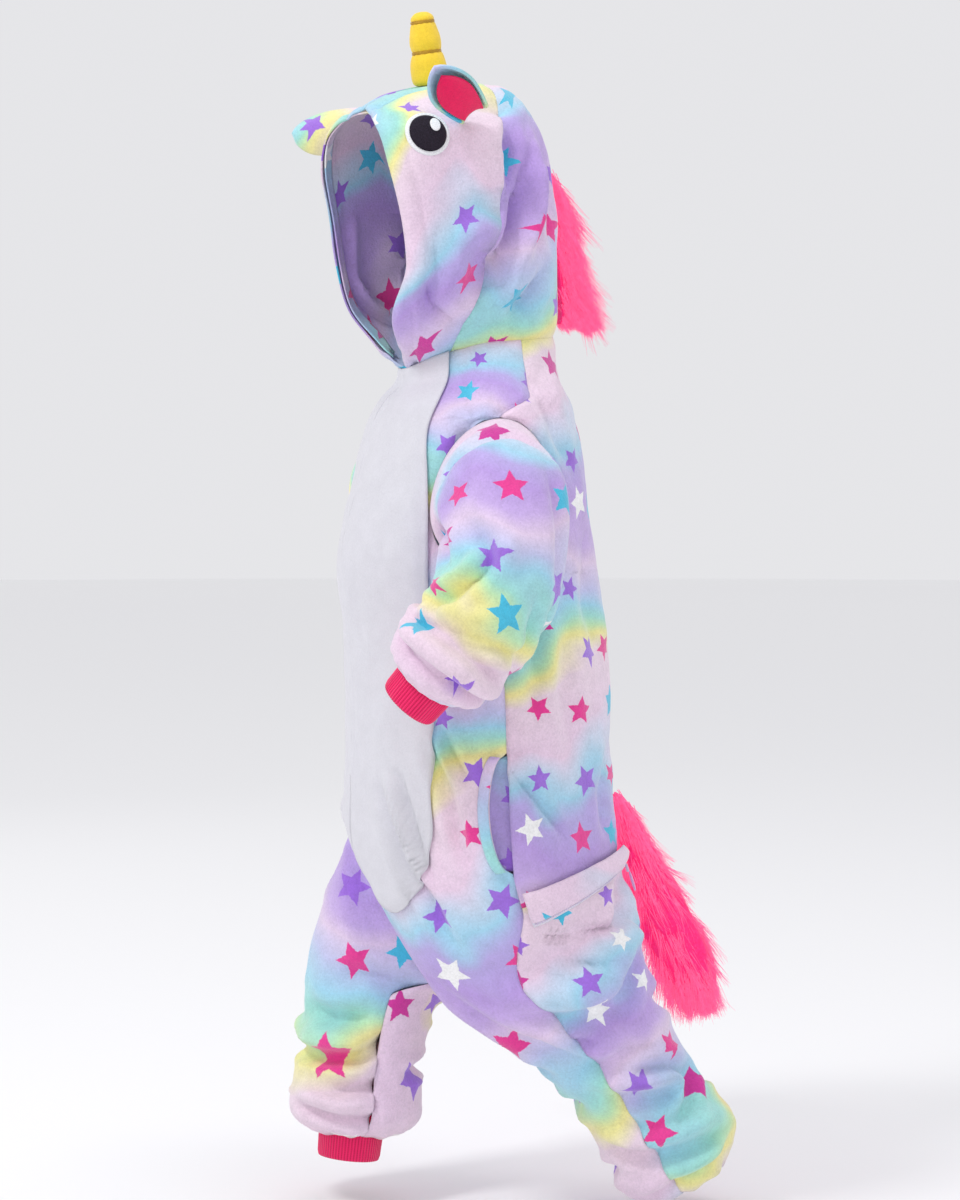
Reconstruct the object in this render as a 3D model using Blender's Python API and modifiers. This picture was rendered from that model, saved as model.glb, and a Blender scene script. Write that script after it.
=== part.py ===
"""A child's hooded unicorn onesie, held in the hollow form and the walking pose that it is worn in.

The garment faces -Y, the wearer's left is +X and up is +Z. The origin is the middle of the shoulders,
where the wearer holds it up. Tables are in millimetres, and every mesh is in metres.
"""

import math
from collections import namedtuple

import bmesh
import bpy
from mathutils import Matrix, Vector

MM = 0.001
COLLECTION = "unicorn_onesie"

# ---------------------------------------------------------------- driving sizes, in millimetres
WALL = 1.8                # plush cloth
EDGE, LEG_EDGE = 0.45, 0.7       # what a panel gives up at a side seam, above the seat and on the legs
MIDDLE_EDGE, INSEAM_EDGE = 0.5, 0.8   # the same at the centre front and back, and at the inseams
LEFT, RIGHT = 1, -1
SIDE_SEAM = 82.0          # degrees round from the centre front
SHOULDER_SHIFT, LEG_SHIFT = 24.0, 20.0    # degrees: backward on the shoulder, forward on the leg
ARM_TOP, ARM_BOTTOM = -58.0, -215.0
ARM_HALF_ANGLE = 32.0
ARM_SPLITS = 8
POCKET_TOP, POCKET_BOTTOM = -391.0, -509.0
POCKET_ANGLE = 9.0
POCKET_SPLITS = 6
SEAT_SEAM = -541.0
HEM = -856.0
HOOD_TURN = 12.0          # the hood is turned this far towards the wearer's left
STRIP_HALF = 27.0         # half the width of the strip over the crown
NECK_DIP_FRONT, NECK_RISE_BACK = 28.0, 6.0
SEAT_RISE_BACK = 18.0
BELLY_LIFT, BELLY_WALL = 2.5, 1.5
PLACKET_LIFT, PLACKET_WALL = 5.2, 1.4
BAG_GAP, BAG_SAG, BAG_WALL = 3.4, 20.0, 1.5
POCKET_WELT_LIFT, POCKET_WELT_WALL = 0.8, 2.0
SEAT_WELT_LOW, SEAT_WELT_HIGH, SEAT_WELT_LIFT, SEAT_WELT_WALL = -14.0, 13.0, 6.0, 2.2
TAPE_LOW, TAPE_HIGH, TAPE_LIFT, TAPE_WALL = -19.0, -4.0, 3.2, 1.1
SLIDER_SIZE, SLIDER_BEVEL, SLIDER_LIFT = Vector((6.0, 9.0, 2.6)), 0.7, 6.4
SLEEVE_GAP = 5.0          # from the torso

# The torso and legs as rings, before the legs swing. Below the hips each half ring closes to a leg.
BodyRow = namedtuple("BodyRow", "height half_width front back centre_x")
BODY_ROWS = (
    BodyRow(20, 80, -88, 66, 0),
    BodyRow(-13, 101, -91, 66, 0),
    BodyRow(-43, 126, -107, 78, 0),
    BodyRow(-72, 140, -121, 85, 0),
    BodyRow(-119, 145, -133, 94, 0),
    BodyRow(-205, 141, -152, 106, 0),
    BodyRow(-270, 143, -147, 114, 0),
    BodyRow(-340, 150, -142, 120, 0),
    BodyRow(-450, 152, -143, 124, 0),
    BodyRow(-511, 154, -142, 126, 2),
    BodyRow(-560, 136, -130, 122, 19),
    BodyRow(-600, 108, -112, 114, 42),
    BodyRow(-636, 82, -92, 102, 68),
    BodyRow(-660, 71, -80, 90, 76),
    BodyRow(-700, 66, -67, 73, 78),
    BodyRow(-760, 62, -62, 64, 76),
    BodyRow(-805, 64, -66, 69, 75),
    BodyRow(-828, 67, -69, 72, 75),
    BodyRow(-844, 62, -63, 63, 75),
    BodyRow(-853, 50, -51, 51, 75),
    BodyRow(-857, 38, -38, 38, 75),
)

# How far each leg leans back (+) or forward (-) at a height of the straight garment.
Swing = namedtuple("Swing", "height angle")
SWINGS = {
    LEFT: (Swing(-400, 0), Swing(-480, 3), Swing(-540, 14), Swing(-600, 28), Swing(-660, 35), Swing(-860, 32)),
    RIGHT: (Swing(-400, 0), Swing(-480, -9), Swing(-535, -28), Swing(-600, -43), Swing(-650, -34),
            Swing(-705, -12), Swing(-860, -6)),
}
SWING_START, SWING_STEP = -400.0, 4.0
# How far a leg's cloth is drawn out (more than 1) or bunched up (less) below LEG_START.
LEG_START, LEG_SHARE = -560.0, {LEFT: 1.13, RIGHT: 0.94}
# Half the width of the web of cloth that both legs pull on.
Web = namedtuple("Web", "height half_width")
WEBS = (Web(-400, 120), Web(-560, 85), Web(-640, 40), Web(-700, 10), Web(-860, 4))

# Half the belly panel as degrees from the centre front.
BellyRow = namedtuple("BellyRow", "height angle")
BELLY_ROWS = (BellyRow(20, 50), BellyRow(-30, 46), BellyRow(-66, 43), BellyRow(-107, 46),
              BellyRow(-205, 54), BellyRow(-391, 50), BellyRow(-470, 50), BellyRow(-575, 48))
BELLY_BOTTOM, BELLY_CORNER, BELLY_ROUND = -540.0, -455.0, 2.4
BELLY_TOP, BELLY_COLUMN = 18.0, 50.0
PLACKET_BOTTOM, PLACKET_HALF = -430.0, 11.0

# Middle of each arm from the armhole to the cuff, and its radius.
ArmRow = namedtuple("ArmRow", "x y z radius")
ARM_ROWS = {
    LEFT: (ArmRow(163, -36, -138, 62), ArmRow(183, -41, -176, 61), ArmRow(200, -52, -217, 59),
           ArmRow(202, -69, -253, 54), ArmRow(196, -85, -281, 55), ArmRow(187, -96, -299, 56),
           ArmRow(180, -104, -312, 52), ArmRow(175, -109, -320, 43), ArmRow(172, -112, -325, 35)),
    RIGHT: (ArmRow(163, -38, -138, 62), ArmRow(184, -36, -176, 61), ArmRow(202, -32, -217, 59),
            ArmRow(208, -27, -254, 57), ArmRow(208, -22, -290, 56), ArmRow(207, -19, -314, 55),
            ArmRow(205, -18, -328, 50), ArmRow(204, -17, -335, 41), ArmRow(203, -17, -337, 35)),
}
WRIST_RADIUS, WRIST_LENGTH, WRIST_TUCK = 32.0, 46.0, 14.0
ANKLE_RADIUS, ANKLE_LENGTH = 34.5, 42.0
ANKLE_TUCK = {LEFT: 41.0, RIGHT: 17.0}
CUFF_WALL = 2.2

# The hood as rings from the neck seam to the crown; opening is half the width of the face opening.
HoodRow = namedtuple("HoodRow", "height half_width front middle back opening squareness dip")
HOOD_ROWS = (
    HoodRow(20.6, 80, -88, -11, 66, 0, 2.0, 1.0),
    HoodRow(34, 85, -118, -20, 69, 42, 2.6, 0.8),
    HoodRow(56, 91, -142, -30, 69, 65, 3.6, 0.35),
    HoodRow(95, 95, -150, -38, 67, 77, 4.5, 0.0),
    HoodRow(140, 95, -157, -40, 63, 79, 4.8, 0.0),
    HoodRow(187, 93, -168, -40, 57, 75, 4.6, 0.0),
    HoodRow(221, 88, -170, -40, 49, 62, 3.8, 0.0),
    HoodRow(243, 80, -158, -40, 40, 32, 2.9, 0.0),
    HoodRow(254, 72, -142, -40, 35, 0, 2.4, 0.0),
    HoodRow(266, 58, -118, -40, 25, 0, 2.1, 0.0),
    HoodRow(274, 41, -88, -40, 11, 0, 2.0, 0.0),
    HoodRow(278, 21, -60, -40, -8, 0, 2.0, 0.0),
    HoodRow(279, 0, -40, -40, -40, 0, 2.0, 0.0),
)
HOOD_SEAM_POINT = Vector((0, -41, 140))
HOOD_SEAM_NORMAL = Vector((0, 1, -0.14))
CHIN_TOP = 150.0          # in front, the hood's strip stops above this height
CHIN_EDGE = 0.8           # each half of the hood stops this far from the middle under the chin
FACING_DEPTH, FACING_GAP, FACING_WALL = 23.0, 2.6, 1.5
FACING_LOW, FACING_TOP = 0.45, 7.72       # the rings that the facing runs between

# The eyes are felt discs; row and angle are a place on the hood's rings.
EYE_ROW, EYE_ANGLE = 6.0, 68.0
EYE_WHITE, EYE_PUPIL, EYE_GLINT = 22.5, 18.5, 4.6
FELT = 1.1

HORN_BASE, HORN_LEAN = Vector((0, -68, 277.4)), 9.0
HornPoint = namedtuple("HornPoint", "height radius")
HORN_PROFILE = (HornPoint(74, 0), HornPoint(73, 6), HornPoint(69.5, 10.5), HornPoint(66, 11.5), HornPoint(63.5, 10.8),
                HornPoint(60, 12.6), HornPoint(50, 14.6), HornPoint(40, 15.6), HornPoint(35, 14.6),
                HornPoint(33, 13.6), HornPoint(30, 15.6), HornPoint(22, 17.8), HornPoint(10, 18.6),
                HornPoint(3, 17.8), HornPoint(0, 14), HornPoint(0, 0))
HORN_GROOVES = (HornPoint(33, 13.6), HornPoint(63.5, 10.8))
THREAD = 0.7

# Fur trim as plain solids of its reach: rows from one end to the other.
FurRow = namedtuple("FurRow", "x y z half_depth half_width")
MANE_ROWS = (FurRow(0, 62, 192, 2, 3), FurRow(0, 66, 182, 13, 9), FurRow(0, 67, 160, 24, 13),
             FurRow(0, 70, 130, 35, 15), FurRow(0, 74, 95, 40, 16), FurRow(0, 75, 65, 46, 16),
             FurRow(0, 75, 46, 52, 14), FurRow(0, 74, 37, 34, 7))
TAIL_ROWS = (FurRow(0, 134, -452, 4, 4), FurRow(0, 142, -466, 12, 12), FurRow(2, 154, -496, 22, 20),
             FurRow(5, 168, -535, 33, 27), FurRow(8, 187, -578, 42, 31), FurRow(9, 207, -620, 46, 31),
             FurRow(9, 222, -655, 38, 24), FurRow(9, 224, -684, 12, 8))

SLIDER_ANGLE, SLIDER_HEIGHT = 158.0, -568.0
PULL_WIDTH, PULL_LENGTH, PULL_WIRE = 5.0, 9.0, 0.9


# ---------------------------------------------------------------- reading the tables
def read(rows, where, column, key="height"):
    """Return a column of a table at a place between its rows, on a smooth curve through them."""
    stops = [getattr(row, key) if key else i for i, row in enumerate(rows)]
    values = [getattr(row, column) for row in rows]
    if stops[0] > stops[-1]:
        stops, values = stops[::-1], values[::-1]
    where = min(max(where, stops[0]), stops[-1])
    i = next(k for k in range(len(stops) - 1) if where <= stops[k + 1])
    span = stops[i + 1] - stops[i]
    t = (where - stops[i]) / span

    def slope(k):
        lo, hi = max(k - 1, 0), min(k + 1, len(stops) - 1)
        return (values[hi] - values[lo]) / (stops[hi] - stops[lo])

    a, b = values[i], values[i + 1]
    return ((2 * t**3 - 3 * t**2 + 1) * a + (t**3 - 2 * t**2 + t) * span * slope(i)
            + (3 * t**2 - 2 * t**3) * b + (t**3 - t**2) * span * slope(i + 1))


def ease(t):
    """Return a smooth step from 0 to 1."""
    t = min(max(t, 0.0), 1.0)
    return t * t * (3 - 2 * t)


def oval(height, top, bottom):
    """Return 1 at the middle of an oval between two heights, and 0 at and past its ends."""
    middle, half = (top + bottom) / 2, (top - bottom) / 2
    return math.sqrt(max(0.0, 1 - ((height - middle) / half) ** 2))


def oval_heights(top, bottom, splits):
    """Return heights spaced evenly round an oval, from its top to its bottom."""
    middle, half = (top + bottom) / 2, (top - bottom) / 2
    return [middle + half * math.cos(math.pi * k / splits) for k in range(splits + 1)]


# ---------------------------------------------------------------- the walking pose
def leg_axis(side):
    """Return the swung leg's middle line as (height, y, z, angle), in steps down the straight one."""
    y, z, height, line = 0.0, SWING_START, SWING_START, []
    while height > HEM - 60:
        angle = math.radians(read(SWINGS[side], height, "angle"))
        line.append((height, y, z, angle))
        share = LEG_SHARE[side] if height < LEG_START else 1.0
        y += SWING_STEP * share * math.sin(angle)
        z -= SWING_STEP * share * math.cos(angle)
        height -= SWING_STEP
    return line


AXES = {side: leg_axis(side) for side in (LEFT, RIGHT)}


def swung(side, point):
    """Return a point of the straight garment after one leg's swing."""
    steps = (SWING_START - point.z) / SWING_STEP
    if steps <= 0:
        return point.copy()
    i = min(int(steps), len(AXES[side]) - 2)
    t = steps - i
    _, y, z, angle = (a + (b - a) * t for a, b in zip(AXES[side][i], AXES[side][i + 1]))
    return Vector((point.x, y + point.y * math.cos(angle), z + point.y * math.sin(angle)))


def posed(point):
    """Return a point of the straight garment in the walking pose."""
    web = read(WEBS, point.z, "half_width")
    share = ease((point.x + web) / (2 * web))
    return swung(RIGHT, point).lerp(swung(LEFT, point), share)


# ---------------------------------------------------------------- the garment's surfaces
def inner_angle(height):
    """Return the angle at which a half ring meets the middle plane, or a leg its inseam."""
    width, centre = read(BODY_ROWS, height, "half_width"), read(BODY_ROWS, height, "centre_x")
    return -math.degrees(math.asin(min(1.0, max(0.0, centre / width))))


def body_point(side, angle, height):
    """Return the outer face of the torso or a leg, by degrees round from the centre front."""
    turn = math.radians(angle)
    half_width, centre_x = (read(BODY_ROWS, height, c) for c in ("half_width", "centre_x"))
    front, back = (read(BODY_ROWS, height, c) for c in ("front", "back"))
    middle, depth = (front + back) / 2, (back - front) / 2
    neck = ease((height + 60) / 80)
    seat = ease(1 - abs(height - SEAT_SEAM) / 110)
    forward, backward = max(math.cos(turn), 0.0), max(-math.cos(turn), 0.0)
    shift = (-NECK_DIP_FRONT * forward**2 + NECK_RISE_BACK * backward) * neck
    shift += SEAT_RISE_BACK * backward * seat
    x = max(max(centre_x, 0.0) + half_width * math.sin(turn), 0.0)
    bulge = pocket_bulge(angle, height)
    point = Vector(((x + bulge) * side, middle - depth * math.cos(turn), height + shift))
    return posed(point) * MM


def pocket_bulge(angle, height):
    """Return how far the pocket's mouth stands off the body."""
    return 9.0 * oval(height, POCKET_TOP, POCKET_BOTTOM) * ease(1 - abs(angle - SIDE_SEAM + 4) / 26)


def side_seam(height):
    """Return the angle of the side seam, which runs back over the shoulder and forward down the leg."""
    shoulder = SHOULDER_SHIFT * ease((height - ARM_TOP) / 26)
    return SIDE_SEAM + shoulder - LEG_SHIFT * ease((SEAT_SEAM - height) / 70)


def front_edge(height):
    """Return the angle of the front panel's side edge."""
    return (side_seam(height) - ARM_HALF_ANGLE * oval(height, ARM_TOP, ARM_BOTTOM)
            - POCKET_ANGLE * oval(height, POCKET_TOP, POCKET_BOTTOM))


def back_edge(height):
    """Return the angle of the back panel's side edge."""
    return side_seam(height) + ARM_HALF_ANGLE * oval(height, ARM_TOP, ARM_BOTTOM)


def belly_edge(height):
    """Return the angle of the belly panel's edge, closing to a round bottom."""
    angle = read(BELLY_ROWS, height, "angle")
    if height >= BELLY_CORNER:
        return angle
    down = min(1.0, (BELLY_CORNER - height) / (BELLY_CORNER - BELLY_BOTTOM))
    return angle * (1 - down**BELLY_ROUND) ** (1 / BELLY_ROUND)


def turned(point):
    """Return a point of the hood, given facing forward, where the hood is turned to."""
    share = ease((point.z - 15) / 80)
    return Matrix.Rotation(math.radians(HOOD_TURN * share), 3, "Z") @ point


def hood_straight(angle, row):
    """Return the hood's outer face before it turns, by degrees from the front and by ring."""
    turn = math.radians(angle)
    names = HoodRow._fields
    height, width, front, middle, back, _, square, dip = (read(HOOD_ROWS, row, c, key=None) for c in names)
    side, forward = math.sin(turn), math.cos(turn)
    power = 2 / square if forward > 0 else 1.0
    depth = middle - front if forward > 0 else back - middle
    x = width * math.copysign(abs(side) ** power, side)
    y = middle - depth * math.copysign(abs(forward) ** power, forward)
    shift = -NECK_DIP_FRONT * max(forward, 0.0) ** 2 + NECK_RISE_BACK * max(-forward, 0.0)
    return Vector((x, y, height + shift * dip))


def hood_point(angle, row):
    """Return the hood's outer face, turned."""
    return turned(hood_straight(angle, row)) * MM


def open_angle(row):
    """Return the angle at which the hood's face edge stands on a ring."""
    width, opening, square = (read(HOOD_ROWS, row, c, key=None) for c in ("half_width", "opening", "squareness"))
    if opening <= 0.5 or width <= 0:
        return 0.0
    return math.degrees(math.asin(min(1.0, (opening / width)) ** (square / 2)))


def lifted(surface, angle, row, lift):
    """Return a point moved out from a surface along its normal, by millimetres."""
    step = 0.05
    across = surface(angle + step, row) - surface(angle - step, row)
    along = surface(angle, row + step) - surface(angle, row - step)
    return surface(angle, row) + across.cross(along).normalized() * lift * MM


# ---------------------------------------------------------------- making objects
def start():
    """Empty the scene and return the object's collection."""
    for item in list(bpy.data.objects):
        bpy.data.objects.remove(item)
    collection = bpy.data.collections.new(COLLECTION)
    bpy.context.scene.collection.children.link(collection)
    return collection


def material(name, colour, roughness):
    """Return a Principled material."""
    made = bpy.data.materials.new(name)
    made.use_nodes = True
    shader = made.node_tree.nodes["Principled BSDF"]
    shader.inputs["Base Color"].default_value = (*colour, 1)
    shader.inputs["Roughness"].default_value = roughness
    return made


def keep(collection, name, bm, colour, roughness=0.9, flip=False):
    """Turn a bmesh into a named object with its own material."""
    if flip:
        bmesh.ops.reverse_faces(bm, faces=bm.faces)
    mesh = bpy.data.meshes.new(name)
    bm.to_mesh(mesh)
    bm.free()
    mesh.shade_smooth()
    made = bpy.data.objects.new(name, mesh)
    made.data.materials.append(material(name, colour, roughness))
    collection.objects.link(made)
    return made


def wall(made, thickness, outward=False):
    """Give an open surface its cloth wall."""
    solid = made.modifiers.new("wall", "SOLIDIFY")
    solid.thickness = thickness * MM
    solid.offset = 1 if outward else -1
    return made


def grid(columns, rows, place):
    """Return a grid whose points are placed by a function of two shares from 0 to 1."""
    bm = bmesh.new()
    bmesh.ops.create_grid(bm, x_segments=columns, y_segments=rows, size=0.5)
    for vert in bm.verts:
        vert.co = place(vert.co.x + 0.5, vert.co.y + 0.5)
    return bm


def merged(bm, distance=0.02):
    """Close a grid's doubled points."""
    bmesh.ops.remove_doubles(bm, verts=bm.verts, dist=distance * MM)
    return bm


def panel(columns, heights, edges, surface, inner_share=None):
    """Return a panel between two edge angles, with a row at each height from the hem up.

    inner_share is the share of the columns that end at BELLY_COLUMN, so that the belly's points match.
    """
    heights = heights[::-1]

    def place(u, v):
        height = heights[round(v * (len(heights) - 1))]
        first, last = edges(height)
        if inner_share is None:
            return surface(first + (last - first) * u, height)
        middle = min(BELLY_COLUMN, first + (last - first) * inner_share)
        if u <= inner_share:
            return surface(first + (middle - first) * u / inner_share, height)
        return surface(middle + (last - middle) * (u - inner_share) / (1 - inner_share), height)

    return grid(columns, len(heights) - 1, place)


def loft(rings, columns):
    """Return a closed body through rings of points, with its ends filled."""
    bm = bmesh.new()
    loops = [[bm.verts.new(ring(360 * k / columns)) for k in range(columns)] for ring in rings]
    for low, high in zip(loops, loops[1:]):
        for k in range(columns):
            bm.faces.new((low[k], low[(k + 1) % columns], high[(k + 1) % columns], high[k]))
    bm.faces.new(loops[0][::-1])
    bm.faces.new(loops[-1])
    bmesh.ops.recalc_face_normals(bm, faces=bm.faces)
    return bm


# ---------------------------------------------------------------- torso and legs
UPPER_HEIGHTS = [20, 0, -28] + oval_heights(ARM_TOP, ARM_BOTTOM, ARM_SPLITS) + [-250, -295, -343] + \
    oval_heights(POCKET_TOP, POCKET_BOTTOM, POCKET_SPLITS) + [SEAT_SEAM]
LEG_HEIGHTS = [SEAT_SEAM, -565, -590, -620, -648, -680, -725, -775, -812, -832, -846, -853, HEM]


def edge_angle(height, give, leg_give):
    """Return a seam's give, in millimetres, as degrees on a ring."""
    return math.degrees((give if height > SEAT_SEAM else leg_give) / read(BODY_ROWS, height, "half_width"))


def middle_give(height):
    """Return the give at the centre front and back, and at the inseam."""
    return edge_angle(height, MIDDLE_EDGE, INSEAM_EDGE)


def side_give(height):
    """Return the give at the side seam."""
    return edge_angle(height, EDGE, LEG_EDGE)


def make_front(collection, side, name):
    """Front panel from the shoulder seam and neck to the ankle."""
    def edges(height):
        return inner_angle(height) + middle_give(height), front_edge(height) - side_give(height)

    bm = panel(8, UPPER_HEIGHTS + LEG_HEIGHTS[1:], edges, lambda a, h: body_point(side, a, h), 5 / 8)
    wall(keep(collection, name, bm, (0.75, 0.62, 0.86), flip=side == RIGHT), WALL)


def make_back(collection, side, name):
    """Back panel above the drop seat."""
    def edges(height):
        return back_edge(height) + side_give(height), 180 - inner_angle(height) - middle_give(height)

    heights = UPPER_HEIGHTS[:-1] + [SEAT_SEAM + EDGE]
    bm = panel(7, heights, edges, lambda a, h: body_point(side, a, h))
    wall(keep(collection, name, bm, (0.84, 0.7, 0.87), flip=side == RIGHT), WALL)


def make_seat(collection, side, name):
    """Seat and back of the leg, below the drop seat's seam."""
    def edges(height):
        return back_edge(height) + side_give(height), 180 - inner_angle(height) - middle_give(height)

    heights = [SEAT_SEAM - EDGE] + LEG_HEIGHTS[1:]
    bm = panel(7, heights, edges, lambda a, h: body_point(side, a, h))
    wall(keep(collection, name, bm, (0.9, 0.75, 0.87), flip=side == RIGHT), WALL)


def make_belly(collection, side, name):
    """Half of the white belly panel, laid on the front."""
    heights = [BELLY_TOP] + [h for h in UPPER_HEIGHTS if SEAT_SEAM < h < BELLY_TOP]
    heights += [BELLY_BOTTOM + rise for rise in (18, 8, 2.5, 0.6)]

    def surface(angle, height):
        return lifted(lambda a, h: body_point(side, a, h), angle, height, side * BELLY_LIFT)

    def edges(height):
        return middle_give(height) + inner_angle(height), max(belly_edge(height), 3.0)

    bm = panel(5, heights, edges, surface)
    wall(keep(collection, name, bm, (0.88, 0.87, 0.9), flip=side == RIGHT), BELLY_WALL, outward=True)


def make_placket(collection):
    """Plain closed placket down the centre front, over its hidden snaps."""
    heights = [h for h in UPPER_HEIGHTS if PLACKET_BOTTOM < h < 20][::-1]

    def place(u, v):
        across = (2 * u - 1) * PLACKET_HALF
        height = heights[round(v * (len(heights) - 1))]
        side = RIGHT if across < 0 else LEFT
        angle = math.degrees(abs(across) / read(BODY_ROWS, height, "half_width"))
        return lifted(lambda a, h: body_point(side, a, h), angle, height, side * PLACKET_LIFT)

    made = keep(collection, "front_placket", grid(2, len(heights) - 1, place), (0.88, 0.87, 0.9))
    wall(made, PLACKET_WALL, outward=True)


def make_pocket(collection, side, word):
    """Side-seam pocket: the bag behind its open mouth and the welt on the mouth's front edge."""
    def outer(angle, height):
        return body_point(side, angle, height)

    def bag(u, v):
        height = POCKET_BOTTOM + (POCKET_TOP - POCKET_BOTTOM) * v
        reach = oval(height, POCKET_TOP + 2, POCKET_BOTTOM - 2)
        angle = SIDE_SEAM - 4 - POCKET_ANGLE + (POCKET_ANGLE + 8) * u
        depth = WALL + BAG_GAP + BAG_SAG * math.sin(math.pi * u) * reach
        return lifted(outer, angle, height, -side * depth)

    wall(keep(collection, f"pocket_bag_{word}", grid(4, 6, bag), (0.85, 0.8, 0.92), flip=side == RIGHT), BAG_WALL)

    def welt(u, v):
        height = POCKET_BOTTOM + 4 + (POCKET_TOP - POCKET_BOTTOM - 8) * v
        angle = front_edge(height) - 3.6 + 3.2 * u
        return lifted(outer, angle, height, side * POCKET_WELT_LIFT)

    wall(keep(collection, f"pocket_welt_{word}", grid(1, 6, welt), (0.85, 0.8, 0.92), flip=side == RIGHT),
         POCKET_WELT_WALL, outward=True)


def round_back(share):
    """Return the side and angle of a place across the back, from the left side seam to the right."""
    across = 2 * share - 1
    reach = 180 - (SIDE_SEAM + 1.5)
    return (LEFT if across < 0 else RIGHT), 180 - reach * abs(across)


def across_back(low, high, lift):
    """Return a placing function for a strip across the back between two heights."""
    def place(u, v):
        side, angle = round_back(u)
        height = low + (high - low) * v
        return lifted(lambda a, h: body_point(side, a, h), angle, height, side * lift)

    return place


def make_drop_seat(collection):
    """Welt over the drop seat's zip, the zip's tape, its slider and its pull."""
    welt = grid(16, 1, across_back(SEAT_SEAM + SEAT_WELT_LOW, SEAT_SEAM + SEAT_WELT_HIGH, SEAT_WELT_LIFT))
    wall(keep(collection, "seat_welt", welt, (0.8, 0.7, 0.88)), SEAT_WELT_WALL, outward=True)
    tape = grid(16, 1, across_back(SEAT_SEAM + TAPE_LOW, SEAT_SEAM + TAPE_HIGH, TAPE_LIFT))
    wall(keep(collection, "seat_zip", tape, (0.9, 0.85, 0.92)), TAPE_WALL, outward=True)
    place = slider_frame()
    bm = bmesh.new()
    bmesh.ops.create_cube(bm, size=1.0)
    bmesh.ops.scale(bm, verts=bm.verts, vec=SLIDER_SIZE * MM)
    bmesh.ops.bevel(bm, geom=bm.edges[:], offset=SLIDER_BEVEL * MM, segments=2, profile=0.5, affect="EDGES")
    bmesh.ops.transform(bm, matrix=place, verts=bm.verts)
    keep(collection, "zip_slider", bm, (0.8, 0.72, 0.85), 0.35)
    bpy.ops.mesh.primitive_torus_add(major_segments=20, minor_segments=8,
                                     major_radius=PULL_WIDTH * MM, minor_radius=PULL_WIRE * MM)
    ring = bpy.context.object
    ring.name = "zip_pull"
    ring.data.transform(Matrix.Diagonal((1, PULL_LENGTH / PULL_WIDTH, 1, 1)))
    ring.data.transform(Matrix.Translation((0, -PULL_LENGTH * MM, 0)))
    ring.data.transform(place @ Matrix.Translation(pull_hinge_offset()))
    ring.data.materials.append(material("zip_pull", (0.85, 0.6, 0.85), 0.4))
    ring.data.shade_smooth()
    for home in list(ring.users_collection):
        home.objects.unlink(ring)
    collection.objects.link(ring)


def pull_hinge_offset():
    """Return the pull's hinge in the slider's frame: across, along the zip's face and out."""
    return Vector((0, -5.9, 1.4)) * MM


def slider_frame():
    """Return the slider's place, with X along the zip, Y up the cloth and Z out of it."""
    def outer(angle, height):
        return body_point(LEFT, angle, height)

    step = 0.2
    along = (outer(SLIDER_ANGLE + step, SLIDER_HEIGHT) - outer(SLIDER_ANGLE - step, SLIDER_HEIGHT)).normalized()
    up = (outer(SLIDER_ANGLE, SLIDER_HEIGHT + step) - outer(SLIDER_ANGLE, SLIDER_HEIGHT - step)).normalized()
    out = along.cross(up).normalized()
    up = out.cross(along)
    turn = Matrix((along, up, out)).transposed().to_4x4()
    return Matrix.Translation(lifted(outer, SLIDER_ANGLE, SLIDER_HEIGHT, SLIDER_LIFT)) @ turn


# ---------------------------------------------------------------- sleeves and cuffs
def arm_rings(side):
    """Return the arm's rings as placing functions of an angle, from the armhole down."""
    half = (ARM_TOP - ARM_BOTTOM) / 2

    def armhole(turn):
        around = math.radians(turn)
        height = (ARM_TOP + ARM_BOTTOM) / 2 + (half - 3.2) * math.cos(around)
        angle = SIDE_SEAM + (ARM_HALF_ANGLE - 1.2) * math.sin(around)
        return body_point(side, angle, height)

    rows = ARM_ROWS[side]
    places = [Vector((row.x * side, row.y, row.z)) for row in rows]
    rings = [armhole]
    for i, row in enumerate(rows):
        along = (places[min(i + 1, len(rows) - 1)] - places[max(i - 1, 0)]).normalized()
        if i == 0:
            along = Vector((0.7 * side, -0.08, -0.7)).normalized()
        back = (Vector((0, 1, 0)) - along * along.y).normalized()
        out = along.cross(back) * side
        rings.append(ring_round(places[i] * MM, out, back, row.radius * MM))
    return rings


def ring_round(middle, out, back, radius):
    """Return a placing function for a circle."""
    def place(turn):
        around = math.radians(turn)
        return middle + (out * math.cos(around) + back * math.sin(around)) * radius

    return place


def clear_of_body(point, side, gap):
    """Return a sleeve's point, pressed out to a gap from the torso's side."""
    height, y = point.z / MM, point.y / MM
    front, back = read(BODY_ROWS, height, "front"), read(BODY_ROWS, height, "back")
    share = (y - (front + back) / 2) / ((back - front) / 2)
    if abs(share) >= 1:
        return point
    least = read(BODY_ROWS, height, "half_width") * math.sqrt(1 - share**2) + gap
    return Vector((side * max(abs(point.x), least * MM), point.y, point.z))


def make_sleeve(collection, side, word):
    """Sleeve from the dropped armhole to the cuff, bloused over it."""
    rings = arm_rings(side)
    between = 2

    def place(u, v):
        turn = 360 * u
        at = v * (len(rings) - 1)
        i = min(int(at), len(rings) - 2)
        t = at - i
        a, b = rings[i](turn), rings[i + 1](turn)
        before = rings[max(i - 1, 0)](turn)
        after = rings[min(i + 2, len(rings) - 1)](turn)
        m0, m1 = (b - before) / 2, (after - a) / 2
        point = ((2 * t**3 - 3 * t**2 + 1) * a + (t**3 - 2 * t**2 + t) * m0
                 + (3 * t**2 - 2 * t**3) * b + (t**3 - t**2) * m1)
        return clear_of_body(point, side, SLEEVE_GAP * min(1.0, 6 * v)) if v > 0 else point

    bm = merged(grid(2 * ARM_SPLITS, between * (len(rings) - 1) - 6, place))
    wall(keep(collection, f"sleeve_{word}", bm, (0.66, 0.6, 0.85), flip=side == RIGHT), WALL)


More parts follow.
